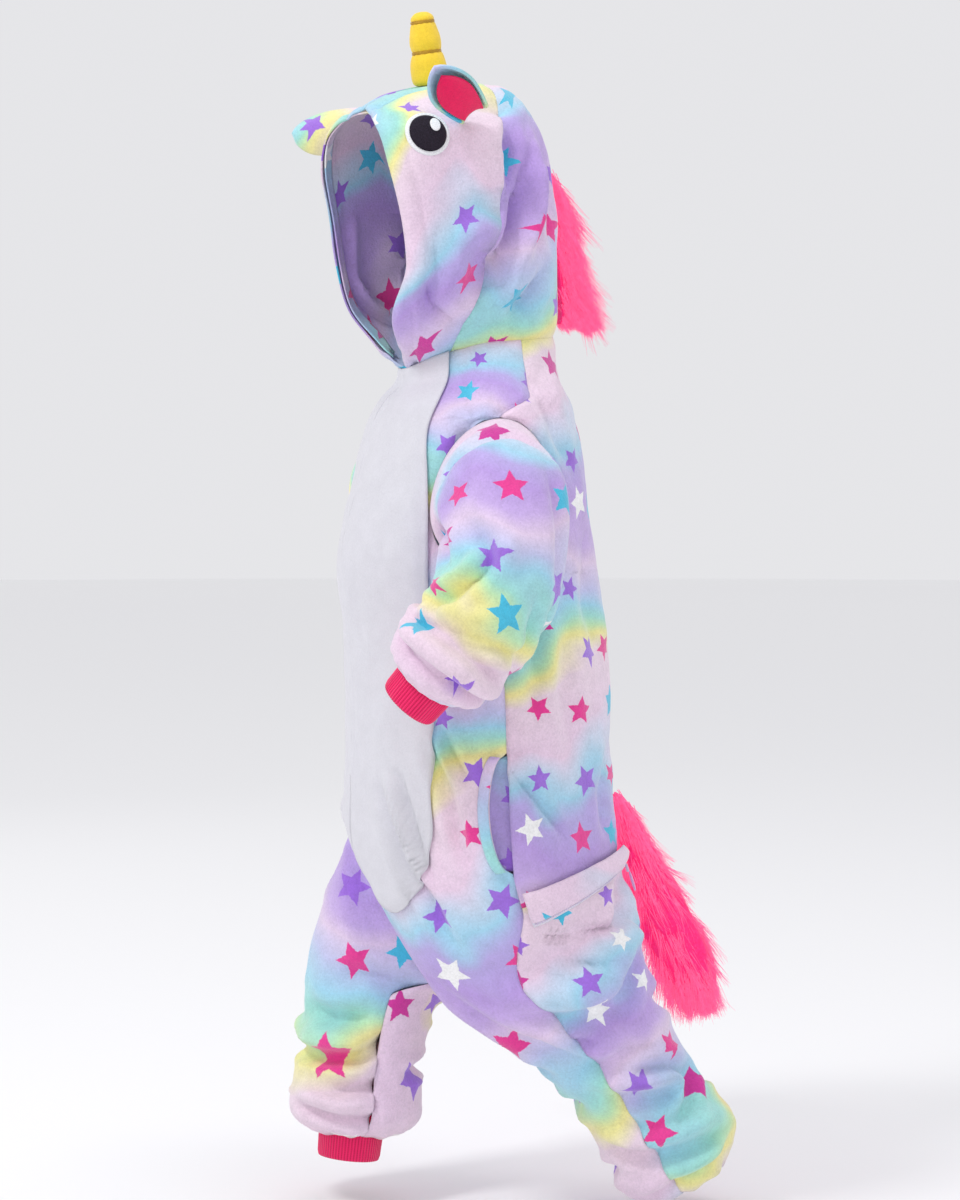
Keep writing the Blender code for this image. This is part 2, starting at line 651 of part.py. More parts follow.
def tube(middle, along, radius, length, columns=16, rows=1):
    """Return an open tube from a middle, along a direction."""
    back = (Vector((0, 1, 0)) - along * along.y).normalized()
    out = along.cross(back)

    def place(u, v):
        return ring_round((middle + along * length * v) * MM, out, back, radius * MM)(360 * u)

    return merged(grid(columns, rows, place))


def make_wrist_cuff(collection, side, word):
    """Rib cuff that comes out of the sleeve's end."""
    rows = ARM_ROWS[side]
    first, last = rows[-4], rows[-1]
    along = Vector(((last.x - first.x) * side, last.y - first.y, last.z - first.z)).normalized()
    if side == LEFT:
        along = Vector((-0.43, -0.52, -0.74)).normalized()
    start_at = Vector((last.x * side, last.y, last.z)) - along * WRIST_TUCK
    bm = tube(start_at, along, WRIST_RADIUS, WRIST_LENGTH)
    wall(keep(collection, f"wrist_cuff_{word}", bm, (0.9, 0.03, 0.2), flip=True), CUFF_WALL)


def make_ankle_cuff(collection, side, word):
    """Rib cuff inside the leg's end."""
    centre = read(BODY_ROWS, HEM, "centre_x") * side

    def at(height):
        return posed(Vector((centre, 0, height)))

    top, bottom = at(HEM + ANKLE_TUCK[side]), at(HEM + ANKLE_TUCK[side] - ANKLE_LENGTH)
    bm = tube(top, (bottom - top).normalized(), ANKLE_RADIUS, ANKLE_LENGTH)
    wall(keep(collection, f"ankle_cuff_{word}", bm, (0.9, 0.03, 0.2), flip=True), CUFF_WALL)


# ---------------------------------------------------------------- hood
def hood_half(side, rows, columns):
    """Return half of the hood's surface, facing forward, from the face edge to the centre back."""
    def place(u, v):
        row = v * (len(HOOD_ROWS) - 1)
        first = open_angle(row)
        point = hood_straight(first + (180 - first) * u, row)
        return Vector((point.x * side, point.y, point.z))

    bm = grid(columns, rows, place)
    if side == RIGHT:
        bmesh.ops.reverse_faces(bm, faces=bm.faces)
    return bm


def hood_surface():
    """Return the whole hood facing forward, with its crown and centre lines joined, in millimetres."""
    whole = bmesh.new()
    for side in (LEFT, RIGHT):
        half = hood_half(side, 15, 10)
        mesh = bpy.data.meshes.new("half")
        half.to_mesh(mesh)
        half.free()
        whole.from_mesh(mesh)
        bpy.data.meshes.remove(mesh)
    bmesh.ops.remove_doubles(whole, verts=whole.verts, dist=0.3)
    bmesh.ops.dissolve_degenerate(whole, edges=whole.edges, dist=0.05)
    return whole


def cut(bm, point, normal, above_chin=False):
    """Keep what lies on the plane's positive side; above_chin leaves the cloth under the chin whole."""
    def counts(item):
        verts = [item] if isinstance(item, bmesh.types.BMVert) else item.verts
        return not above_chin or not all(v.co.z < CHIN_TOP and v.co.y < 0 for v in verts)

    geometry = [item for item in bm.verts[:] + bm.edges[:] + bm.faces[:] if counts(item)]
    bmesh.ops.bisect_plane(bm, geom=geometry, plane_co=point, plane_no=normal, clear_inner=True, dist=1e-5)
    return bm


def place_hood(bm):
    """Turn a hood piece and bring it to metres."""
    for vert in bm.verts:
        vert.co = turned(vert.co) * MM
    return bm


def make_hood(collection):
    """Hood of five panels: a face and a back panel each side, and the strip over the crown."""
    seam = HOOD_SEAM_NORMAL.normalized()
    for side, word in ((LEFT, "left"), (RIGHT, "right")):
        beside = Vector((side, 0, 0))
        for name, normal in (("hood_face", -seam), ("hood_back", seam)):
            bm = cut(hood_surface(), beside * CHIN_EDGE, beside)
            cut(bm, beside * (STRIP_HALF + EDGE), beside, above_chin=True)
            cut(bm, HOOD_SEAM_POINT + normal * EDGE, normal)
            wall(keep(collection, f"{name}_{word}", place_hood(bm), (0.75, 0.66, 0.88)), WALL)
    bm = cut(cut(hood_surface(), Vector((STRIP_HALF - EDGE, 0, 0)), Vector((-1, 0, 0))),
             Vector((EDGE - STRIP_HALF, 0, 0)), Vector((1, 0, 0)))
    loose = [v for v in bm.verts if v.co.z < CHIN_TOP and v.co.y < 0]
    bmesh.ops.delete(bm, geom=loose, context="VERTS")
    wall(keep(collection, "hood_strip", place_hood(bm), (0.93, 0.86, 0.5)), WALL)


def make_facing(collection):
    """Facing turned in behind the hood's face edge."""
    def place(u, v):
        around = 2 * v - 1
        side = LEFT if around >= 0 else RIGHT
        row = FACING_LOW + (FACING_TOP - FACING_LOW) * (1 - abs(around)) ** 0.8
        width = max(read(HOOD_ROWS, row, "half_width", key=None), 1)
        angle = open_angle(row) + math.degrees((1.2 + FACING_DEPTH * u) / width)
        point = lifted(hood_straight_m, angle, row, -(WALL + FACING_GAP))
        return Vector((point.x * side, point.y, point.z))

    bm = grid(1, 20, place)
    for vert in bm.verts:
        vert.co = turned(vert.co / MM) * MM
    wall(keep(collection, "hood_facing", bm, (0.8, 0.75, 0.9)), FACING_WALL, outward=True)


def hood_straight_m(angle, row):
    """Return the hood's face before it turns, in metres."""
    return hood_straight(angle, row) * MM


def on_eye(across, up, lift):
    """Return the hood's point that stands over a place on the eye's flat face, in millimetres from its middle."""
    step, rounds = 0.02, 5
    centre = hood_straight_m(EYE_ANGLE, EYE_ROW)
    over = (hood_straight_m(EYE_ANGLE + step, EYE_ROW) - centre) / step
    rise = (hood_straight_m(EYE_ANGLE, EYE_ROW + step) - centre) / step
    right = over.normalized()
    upward = (rise - right * rise.dot(right)).normalized()
    angle, row = EYE_ANGLE, EYE_ROW
    for _ in range(rounds):
        away = hood_straight_m(angle, row) - centre
        row += (up * MM - away.dot(upward)) / rise.dot(upward)
        angle += (across * MM - away.dot(right)) / over.length
    return lifted(hood_straight_m, angle, row, lift)


def make_eye(collection, side, word):
    """Felt eye: a white disc, a black disc on it and a glint."""
    def disc(radius_a, radius_b, lift, shift_a=0.0, shift_b=0.0):
        def place(u, v):
            around, out = 2 * math.pi * u, 1 - v
            across = shift_a + radius_a * out * math.cos(around)
            up = shift_b + radius_b * out * math.sin(around)
            point = on_eye(across, up, lift)
            return turned(Vector((point.x * side, point.y, point.z)) / MM) * MM

        return merged(grid(16, 1, place))

    layers = (("white", EYE_WHITE, EYE_WHITE, 1.3, 0, 0, (0.9, 0.9, 0.92)),
              ("pupil", EYE_PUPIL, EYE_PUPIL, 2.8, 0, 0, (0.02, 0.015, 0.03)),
              ("glint", EYE_GLINT, EYE_GLINT * 1.3, 4.3, 7.5, 8.0, (0.9, 0.9, 0.92)))
    for name, a, b, lift, shift_a, shift_b, colour in layers:
        bm = disc(a, b, lift, shift_a, shift_b)
        wall(keep(collection, f"eye_{name}_{word}", bm, colour, flip=side == RIGHT), FELT, outward=True)


# An ear is a cupped leaf: where it starts, where its tip is and which way its lining looks.
Ear = namedtuple("Ear", "base tip facing half_width cup")
EARS = {
    LEFT: Ear(Vector((96, -66, 240)), Vector((124, -128, 279)), Vector((0.5, -0.6, -0.3)), 22, 0.9),
    RIGHT: Ear(Vector((-104, -76, 232)), Vector((-148, -148, 221)), Vector((-0.8, -0.1, -0.5)), 28, 0.9),
}


def make_ear(collection, side, word):
    """Ear of two leaves: the printed outside and the hot pink lining."""
    ear = EARS[side]
    along = ear.tip - ear.base
    length = along.length
    along.normalize()
    facing = (ear.facing - along * ear.facing.dot(along)).normalized()
    across = along.cross(facing)

    def leaf(shrink, lift):
        def place(u, v):
            width = ear.half_width * shrink * (0.42 + 0.58 * math.sin(math.pi * (0.12 + 0.5 * v))) \
                * math.sqrt(max(0.0, 1 - max(0.0, (v - 0.5) / 0.5) ** 2.4))
            swing = (2 * u - 1) * ear.cup
            reach = width / ear.cup
            out = across * reach * math.sin(swing) + facing * (reach * (1 - math.cos(swing)) + lift)
            start_v = 0.04 if shrink < 1 else 0.0
            return turned(ear.base + along * length * (start_v + (shrink - start_v) * v) + out) * MM

        return merged(grid(4, 8, place))

    wall(keep(collection, f"ear_outer_{word}", leaf(1.0, 0.0), (0.7, 0.75, 0.92), flip=False), 3.0, outward=False)
    wall(keep(collection, f"ear_lining_{word}", leaf(0.88, 0.8), (0.9, 0.03, 0.15), flip=False), 1.5, outward=True)


def make_horn(collection):
    """Padded horn with two thread-bound grooves."""
    bm = bmesh.new()
    points = [bm.verts.new((p.radius * MM, 0, p.height * MM)) for p in HORN_PROFILE]
    edges = [bm.edges.new(pair) for pair in zip(points, points[1:])]
    bmesh.ops.spin(bm, geom=points + edges, angle=2 * math.pi, steps=20, axis=(0, 0, 1), cent=(0, 0, 0),
                   use_merge=True)
    bmesh.ops.remove_doubles(bm, verts=bm.verts, dist=0.02 * MM)
    bmesh.ops.recalc_face_normals(bm, faces=bm.faces)
    bmesh.ops.transform(bm, matrix=horn_place(), verts=bm.verts)
    keep(collection, "horn", bm, (0.95, 0.72, 0.1))
    for name, groove in zip(("horn_thread_lower", "horn_thread_upper"), HORN_GROOVES):
        radius = groove.radius + THREAD + 0.35

        def place(u, v, groove=groove, radius=radius):
            turn, around = 2 * math.pi * u, 2 * math.pi * v
            reach = radius + THREAD * math.cos(around)
            return Vector((reach * math.cos(turn), reach * math.sin(turn),
                           groove.height + THREAD * math.sin(around))) * MM

        bm = merged(grid(20, 6, place))
        bmesh.ops.transform(bm, matrix=horn_place(), verts=bm.verts)
        keep(collection, name, bm, (0.6, 0.42, 0.05))


def horn_place():
    """Return where the horn stands on the turned hood."""
    turn = Matrix.Rotation(math.radians(HOOD_TURN), 4, "Z")
    lean = Matrix.Rotation(math.radians(HORN_LEAN), 4, "X")
    return turn @ Matrix.Translation(HORN_BASE * MM) @ lean


def make_fur(collection, name, rows, place_point):
    """Long fur as a plain solid of its reach."""
    places = [Vector((row.x, row.y, row.z)) for row in rows]
    rings = []
    for i, row in enumerate(rows):
        along = (places[min(i + 1, len(rows) - 1)] - places[max(i - 1, 0)]).normalized()
        deep = along.cross(Vector((1, 0, 0))).normalized()

        def ring(turn, i=i, row=row, deep=deep):
            around = math.radians(turn)
            return place_point(places[i] + deep * row.half_depth * math.cos(around)
                               + Vector((1, 0, 0)) * row.half_width * math.sin(around)) * MM

        rings.append(ring)
    keep(collection, name, loft(rings, 12), (0.95, 0.06, 0.25))


def make_mane(collection):
    """Mane down the hood's centre back: a half-round solid that stands on the hood."""
    rows = MANE_ROWS
    rings = []
    for row in rows:
        def ring(turn, row=row):
            around = math.radians(turn)
            reach = row.half_depth * max(math.cos(around), 0.0) + 1.2
            return turned(Vector((row.half_width * math.sin(around), row.y + reach, row.z))) * MM

        rings.append(ring)
    keep(collection, "mane", loft(rings, 12), (0.95, 0.06, 0.25))


def main():
    """Build the onesie."""
    collection = start()
    for side, word in ((LEFT, "left"), (RIGHT, "right")):
        make_front(collection, side, f"front_{word}")
        make_back(collection, side, f"back_{word}")
        make_seat(collection, side, f"seat_{word}")
        make_belly(collection, side, f"belly_{word}")
        make_pocket(collection, side, word)
        make_sleeve(collection, side, word)
        make_wrist_cuff(collection, side, word)
        make_ankle_cuff(collection, side, word)
        make_eye(collection, side, word)
        make_ear(collection, side, word)
    make_placket(collection)
    make_drop_seat(collection)
    make_hood(collection)
    make_facing(collection)
    make_horn(collection)
    make_mane(collection)
    make_fur(collection, "tail", TAIL_ROWS, lambda point: point)


main()
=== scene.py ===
"""Looks of a child's hooded unicorn onesie, kept in the hollow form and walking pose that it is worn in.

The garment faces -Y, the wearer's left is +X and up is +Z. Tables are in millimetres and degrees, meshes in
metres. A place on the torso and legs is an angle round from the centre front and a height of the straight
garment, a place on a sleeve is a turn round the arm and a ring, and a place on the hood is an angle round
from the face and a ring.
"""

import logging
import math
import random
from collections.abc import Callable, Sequence
from dataclasses import dataclass
from enum import Enum
from functools import lru_cache
from typing import Any, NamedTuple

import bmesh
import bpy
import numpy as np
from mathutils import Matrix, Vector, noise

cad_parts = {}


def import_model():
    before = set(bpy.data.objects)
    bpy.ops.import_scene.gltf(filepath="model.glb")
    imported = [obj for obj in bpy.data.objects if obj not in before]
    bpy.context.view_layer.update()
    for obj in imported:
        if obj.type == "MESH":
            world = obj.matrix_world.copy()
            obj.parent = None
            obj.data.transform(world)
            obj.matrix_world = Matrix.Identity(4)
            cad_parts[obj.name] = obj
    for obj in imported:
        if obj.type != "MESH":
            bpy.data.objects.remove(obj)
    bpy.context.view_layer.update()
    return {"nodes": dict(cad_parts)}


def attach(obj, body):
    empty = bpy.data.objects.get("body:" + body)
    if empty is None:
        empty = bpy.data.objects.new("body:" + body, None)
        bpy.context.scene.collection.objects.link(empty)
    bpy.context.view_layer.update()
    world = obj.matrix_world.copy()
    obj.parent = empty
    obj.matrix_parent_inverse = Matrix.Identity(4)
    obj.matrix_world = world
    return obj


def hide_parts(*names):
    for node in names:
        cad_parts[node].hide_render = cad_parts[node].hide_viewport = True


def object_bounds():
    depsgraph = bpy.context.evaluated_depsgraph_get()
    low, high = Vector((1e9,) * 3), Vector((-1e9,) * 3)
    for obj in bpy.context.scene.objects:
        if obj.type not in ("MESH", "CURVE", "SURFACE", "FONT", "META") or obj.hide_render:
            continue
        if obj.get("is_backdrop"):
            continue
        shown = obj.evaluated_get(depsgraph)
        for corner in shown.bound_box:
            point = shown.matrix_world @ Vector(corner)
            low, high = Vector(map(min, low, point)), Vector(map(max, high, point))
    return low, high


LOG = logging.getLogger("onesie")
MM = 0.001
BODY = "garment"

Place = tuple[Vector, float, float]      # a point in metres, and where it lies on its chart in millimetres
Path = tuple[tuple[float, float], ...]


class Side(Enum):
    """The wearer's side that a piece is on."""

    LEFT = 1
    RIGHT = -1

    @property
    def word(self) -> str:
        """The side's name as piece names end in it."""
        return self.name.lower()


class Layer(Enum):
    """Which way a cloth's wall grows from the surface that it is given."""

    OUTER_FACE = -1.0
    LAID_ON = 1.0


# ---------------------------------------------------------------- sizes shared by the pieces
PLUSH_WALL = 1.8
EDGE, MIDDLE_EDGE = 0.05, 0.05
SIDE_SEAM, SHOULDER_SHIFT, LEG_SHIFT = 82.0, 24.0, 20.0
ARM_TOP, ARM_BOTTOM, ARM_HALF_ANGLE = -58.0, -215.0, 32.0
POCKET_TOP, POCKET_BOTTOM, POCKET_ANGLE, POCKET_PUFF = -391.0, -509.0, 9.0, 9.0
SEAT_SEAM, NECK, HEM = -541.0, 20.0, -857.0
HOOD_TURN, STRIP_HALF, CHIN_TOP = 12.0, 27.0, 150.0
NECK_DIP_FRONT, NECK_RISE_BACK, SEAT_RISE_BACK = 28.0, 6.0, 18.0
CELL = 3.7                               # how far apart the points of a cloth are
FOLD_STRENGTH = 2.4                     # how much deeper the folds are than their tables say
FOLD_LIMIT = 13.0                        # the deepest a fold goes, in millimetres
RIM_STITCH = 20.9                        # how far from an eye's middle its stitches run
RIB_PITCH = 3.4                          # from rib to rib of the knit; drawn coarse so that it shows
LEAST_CUT = 0.0101                       # the least width that declare rounds a cut's width up to, in metres


class BodyRow(NamedTuple):
    """A ring of the straight torso and legs."""

    height: float
    half_width: float
    front: float
    back: float
    centre_x: float


BODY_ROWS = (
    BodyRow(20, 80, -88, 66, 0), BodyRow(-13, 101, -91, 66, 0), BodyRow(-43, 126, -107, 78, 0),
    BodyRow(-72, 140, -121, 85, 0), BodyRow(-119, 145, -133, 94, 0), BodyRow(-205, 141, -152, 106, 0),
    BodyRow(-270, 143, -147, 114, 0), BodyRow(-340, 150, -142, 120, 0), BodyRow(-450, 152, -143, 124, 0),
    BodyRow(-511, 154, -142, 126, 2), BodyRow(-560, 136, -130, 122, 19), BodyRow(-600, 108, -112, 114, 42),
    BodyRow(-636, 82, -92, 102, 68), BodyRow(-660, 71, -80, 90, 76), BodyRow(-700, 66, -67, 73, 78),
    BodyRow(-760, 62, -62, 64, 76), BodyRow(-805, 64, -66, 69, 75), BodyRow(-828, 67, -69, 72, 75),
    BodyRow(-844, 62, -63, 63, 75), BodyRow(-853, 50, -51, 51, 75), BodyRow(-857, 38, -38, 38, 75),
)


class Swing(NamedTuple):
    """How far a leg leans back (+) or forward (-) at a height."""

    height: float
    angle: float


SWINGS = {
    Side.LEFT: (Swing(-400, 0), Swing(-480, 3), Swing(-540, 14), Swing(-600, 28), Swing(-660, 35),
                Swing(-860, 32)),
    Side.RIGHT: (Swing(-400, 0), Swing(-480, -9), Swing(-535, -28), Swing(-600, -43), Swing(-650, -34),
                 Swing(-705, -12), Swing(-860, -6)),
}
SWING_START, SWING_STEP, SWING_END = -400.0, 4.0, -916.0
LEG_START, LEG_SHARE = -560.0, {Side.LEFT: 1.13, Side.RIGHT: 0.94}


class Web(NamedTuple):
    """Half the width of the web of cloth that both legs pull on."""

    height: float
    half_width: float


WEBS = (Web(-400, 120), Web(-560, 85), Web(-640, 40), Web(-700, 10), Web(-860, 4))


class BellyRow(NamedTuple):
    """Half the white belly panel, as degrees from the centre front."""

    height: float
    angle: float


BELLY_ROWS = (BellyRow(20, 50), BellyRow(-30, 46), BellyRow(-66, 43), BellyRow(-107, 46),
              BellyRow(-205, 54), BellyRow(-391, 50), BellyRow(-470, 50), BellyRow(-575, 48))
BELLY_TOP, BELLY_CORNER, BELLY_BOTTOM, BELLY_ROUND = 18.0, -455.0, -540.0, 2.4


class ArmRow(NamedTuple):
    """The middle of an arm's ring and its radius."""

    x: float
    y: float
    z: float
    radius: float


ARM_ROWS = {
    Side.LEFT: (ArmRow(163, -36, -138, 62), ArmRow(183, -41, -176, 61), ArmRow(200, -52, -217, 59),
                ArmRow(202, -69, -251, 55), ArmRow(196, -86, -275, 56), ArmRow(187, -98, -290, 57),
                ArmRow(180, -107, -302, 52), ArmRow(175, -112, -310, 43), ArmRow(172, -115, -315, 35)),
    Side.RIGHT: (ArmRow(163, -38, -138, 62), ArmRow(184, -36, -176, 61), ArmRow(202, -32, -217, 59),
                 ArmRow(208, -27, -254, 57), ArmRow(208, -22, -290, 56), ArmRow(207, -19, -314, 55),
                 ArmRow(205, -18, -328, 50), ArmRow(204, -17, -335, 41), ArmRow(203, -17, -337, 35)),
}


class HoodRow(NamedTuple):
    """A ring of the hood; opening is half the width of the face opening."""

    height: float
    half_width: float
    front: float
    middle: float
    back: float
    opening: float
    squareness: float
    dip: float


HOOD_ROWS = (
    HoodRow(15.0, 80, -88, -11, 66, 0, 2.0, 1.0), HoodRow(34, 85, -118, -20, 69, 42, 2.6, 0.8),
    HoodRow(56, 91, -142, -30, 69, 65, 3.6, 0.35), HoodRow(95, 95, -150, -38, 67, 77, 4.5, 0.0),
    HoodRow(140, 95, -157, -40, 63, 79, 4.8, 0.0), HoodRow(187, 93, -168, -40, 57, 75, 4.6, 0.0),
    HoodRow(221, 88, -170, -40, 49, 62, 3.8, 0.0), HoodRow(243, 80, -158, -40, 40, 32, 2.9, 0.0),
    HoodRow(254, 72, -142, -40, 35, 0, 2.4, 0.0), HoodRow(266, 58, -118, -40, 25, 0, 2.1, 0.0),
    HoodRow(274, 41, -88, -40, 11, 0, 2.0, 0.0), HoodRow(278, 21, -60, -40, -8, 0, 2.0, 0.0),
    HoodRow(279, 0, -40, -40, -40, 0, 2.0, 0.0),
)
HOOD_SEAM_POINT, HOOD_SEAM_NORMAL = Vector((0, -41, 140)) * MM, Vector((0, 1, -0.14)).normalized()


# ---------------------------------------------------------------- curves through the tables
def read(rows: Sequence[Any], where: float, column: str, key: str | None = "height") -> float:
    """Read a column of a table between its rows, on a smooth curve through them.

    Args:
        rows: The table.
        where: The place to read at, in the key column's units.
        column: The column to read.
        key: The column that the rows are ordered by, or None to count the rows.

    Returns:
        The column's value at that place.
    """
    stops = [getattr(row, key) if key else i for i, row in enumerate(rows)]
    values = [getattr(row, column) for row in rows]
    if stops[0] > stops[-1]:
        stops, values = stops[::-1], values[::-1]
    where = min(max(where, stops[0]), stops[-1])
    i = next(k for k in range(len(stops) - 1) if where <= stops[k + 1])
    span = stops[i + 1] - stops[i]

    def slope(k: int) -> float:
        """Return the curve's slope at a row."""
        low, high = max(k - 1, 0), min(k + 1, len(stops) - 1)
        return (values[high] - values[low]) / (stops[high] - stops[low])

    return hermite((where - stops[i]) / span, values[i], values[i + 1], span * slope(i), span * slope(i + 1))


def hermite(t: float, start: Any, end: Any, leave: Any, arrive: Any) -> Any:
    """Blend two values, or two points, on a curve with the given end slopes."""
    return ((2 * t**3 - 3 * t**2 + 1) * start + (t**3 - 2 * t**2 + t) * leave
            + (3 * t**2 - 2 * t**3) * end + (t**3 - t**2) * arrive)


def ease(t: float) -> float:
    """Return a smooth step from 0 to 1."""
    t = min(max(t, 0.0), 1.0)
    return t * t * (3 - 2 * t)


def oval(height: float, top: float, bottom: float) -> float:
    """Return 1 at the middle of an oval between two heights, and 0 at and past its ends."""
    middle, half = (top + bottom) / 2, (top - bottom) / 2
    return math.sqrt(max(0.0, 1 - ((height - middle) / half) ** 2))


# ---------------------------------------------------------------- folds in the cloth
@dataclass(frozen=True)
class Fold:
    """A soft crease (depth below 0) or a ridge (above 0) along a path on a chart, in millimetres.

    The path's points are places on the form, such as an angle and a height.
    """

    path: Path
    width: float
    depth: float

    def relief(self, across: np.ndarray, along: np.ndarray,
               chart: Callable[[float, float], tuple[float, float]]) -> np.ndarray:
        """Return how far the fold moves each point of a cloth.

        Args:
            across: The points' first chart coordinate.
            along: The points' second chart coordinate.
            chart: What turns a place of the path into chart coordinates.

        Returns:
            The heights that the fold adds, in millimetres.
        """
        stops = [chart(*place) for place in self.path]
        steps = [math.dist(a, b) for a, b in zip(stops, stops[1:])]
        whole, done = sum(steps), 0.0
        nearest, share = np.full(across.shape, 1e9), np.zeros(across.shape)
        for (x, y), (x2, y2), step in zip(stops, stops[1:], steps):
            part = np.clip(((across - x) * (x2 - x) + (along - y) * (y2 - y)) / max(step**2, 1e-9), 0, 1)
            gap = np.hypot(across - x - part * (x2 - x), along - y - part * (y2 - y))
            closer = gap < nearest
            nearest = np.where(closer, gap, nearest)
            share = np.where(closer, (done + part * step) / whole, share)
            done += step
        taper = 0.25 + 0.75 * np.clip(np.minimum(share, 1 - share) / 0.3, 0, 1) ** 0.7
        trough = np.exp(-((nearest / self.width) ** (1.25 if self.depth < 0 else 2.0)))
        flanks = np.exp(-(((nearest - 1.9 * self.width) / self.width) ** 2))
        return FOLD_STRENGTH * self.depth * taper * (trough - 0.32 * flanks)


def softened(relief: np.ndarray) -> np.ndarray:
    """Return a cloth's folds with the deepest held to what the cloth's bulk allows, in millimetres."""
    return FOLD_LIMIT * np.tanh(relief / FOLD_LIMIT)


def billow(across: np.ndarray, along: np.ndarray, depth: float, size: float, seed: float) -> np.ndarray:
    """Return the slight, uneven swelling of thick cloth that hangs free.

    Args:
        across: The points' first chart coordinate.
        along: The points' second chart coordinate.
        depth: The most that it swells, in millimetres.
        size: How far apart the swells are, in millimetres.
        seed: What makes one cloth's swells differ from another's.

    Returns:
        The heights that it adds, in millimetres.
    """
    spots = np.stack([across / size, along / (1.6 * size)], axis=-1).reshape(-1, 2)
    heights = [noise.noise(Vector((x, y, seed))) + 0.4 * noise.noise(Vector((2.3 * x, 2.3 * y, seed + 9)))
               for x, y in spots]
    return depth * np.array(heights).reshape(across.shape)


# ---------------------------------------------------------------- a cloth as a grid of points
@dataclass
class Cloth:
    """A piece of cloth before it is made a mesh: its points, its chart, and its cut size."""

    points: np.ndarray
    across: np.ndarray
    along: np.ndarray

    @classmethod
    def laid(cls, columns: int, rows: int, place: Callable[[float, float], Place]) -> "Cloth":
        """Lay a cloth out by a rule.

        Args:
            columns: How many cells it has across.
            rows: How many cells it has along.
            place: Gives a point and its chart place from two shares between 0 and 1.

        Returns:
            The cloth.
        """
        table = [[place(i / columns, j / rows) for i in range(columns + 1)] for j in range(rows + 1)]
        points = np.array([[tuple(cell[0]) for cell in row] for row in table])
        across = np.array([[cell[1] for cell in row] for row in table])
        along = np.array([[cell[2] for cell in row] for row in table])
        return cls(points, across, along)

    def runs(self) -> tuple[np.ndarray, np.ndarray]:
        """Return each point's distance along its row from the first column, and up its column."""
        steps_u = np.linalg.norm(np.diff(self.points, axis=1), axis=2)
        steps_v = np.linalg.norm(np.diff(self.points, axis=0), axis=2)
        u = np.concatenate([np.zeros((self.points.shape[0], 1)), np.cumsum(steps_u, axis=1)], axis=1)
        v = np.concatenate([np.zeros((1, self.points.shape[1])), np.cumsum(steps_v, axis=0)], axis=0)
        return u, v

    def cut(self) -> tuple[float, float, float]:
        """Return the width, length and area that the cloth is cut to, in metres."""
        u, v = self.runs()
        corner = self.points[:-1, :-1]
        cells = np.cross(self.points[:-1, 1:] - corner, self.points[1:, :-1] - corner)
        area = float(np.linalg.norm(cells, axis=2).sum())
        width, length = float(u[:, -1].max()), float(v[-1].max())
        return width, length, min(area, width * length)

    def normals(self, turn_over: bool, closed: bool) -> np.ndarray:
        """Return the cloth's outward direction at each point.

        Args:
            turn_over: Whether columns run clockwise, seen from outside.
            closed: Whether the first and last columns meet.

        Returns:
            A unit vector for each point.
        """
        if closed:
            wrapped = np.concatenate([self.points[:, -2:-1], self.points, self.points[:, 1:2]], axis=1)
            over = (wrapped[:, 2:] - wrapped[:, :-2]) / 2
        else:
            over = np.gradient(self.points, axis=1)
        normal = np.cross(over, np.gradient(self.points, axis=0))
        normal *= -1 if turn_over else 1
        return normal / np.maximum(np.linalg.norm(normal, axis=2, keepdims=True), 1e-12)

    def pinched(self, sides: str, depth: float = 2.6, reach: float = 7.0) -> np.ndarray:
        """Return how far the cloth dips at its seams, in millimetres.

        Args:
            sides: Which edges are sewn, of l, r (first and last column), b and t (first and last row).
            depth: How far it dips at the seam.
            reach: How far from the seam it dips, in millimetres.

        Returns:
            The heights, below 0, for each point.
        """
        u, v = self.runs()
        gaps = {"l": u, "r": u[:, -1:] - u, "b": v, "t": v[-1:] - v}
        near = np.full(u.shape, 1e9)
        for side in sides:
            near = np.minimum(near, gaps[side] / MM)
        return -depth * np.exp(-((near / reach) ** 2))


def arc_shares(cloth: Cloth, datum_u: float, top: float) -> np.ndarray:
    """Return the print's coordinates in metres, which keep the print's size on the cloth.

    Args:
        cloth: The cloth.
        datum_u: The share across at which the print's columns start.
        top: The print's height, in metres, at the cloth's last row.

    Returns:
        Two coordinates for each point.
    """
    u, v = cloth.runs()
    column = round(datum_u * (u.shape[1] - 1))
    return np.stack([u - u[:, column:column + 1], v - v[-1:] + top], axis=-1)


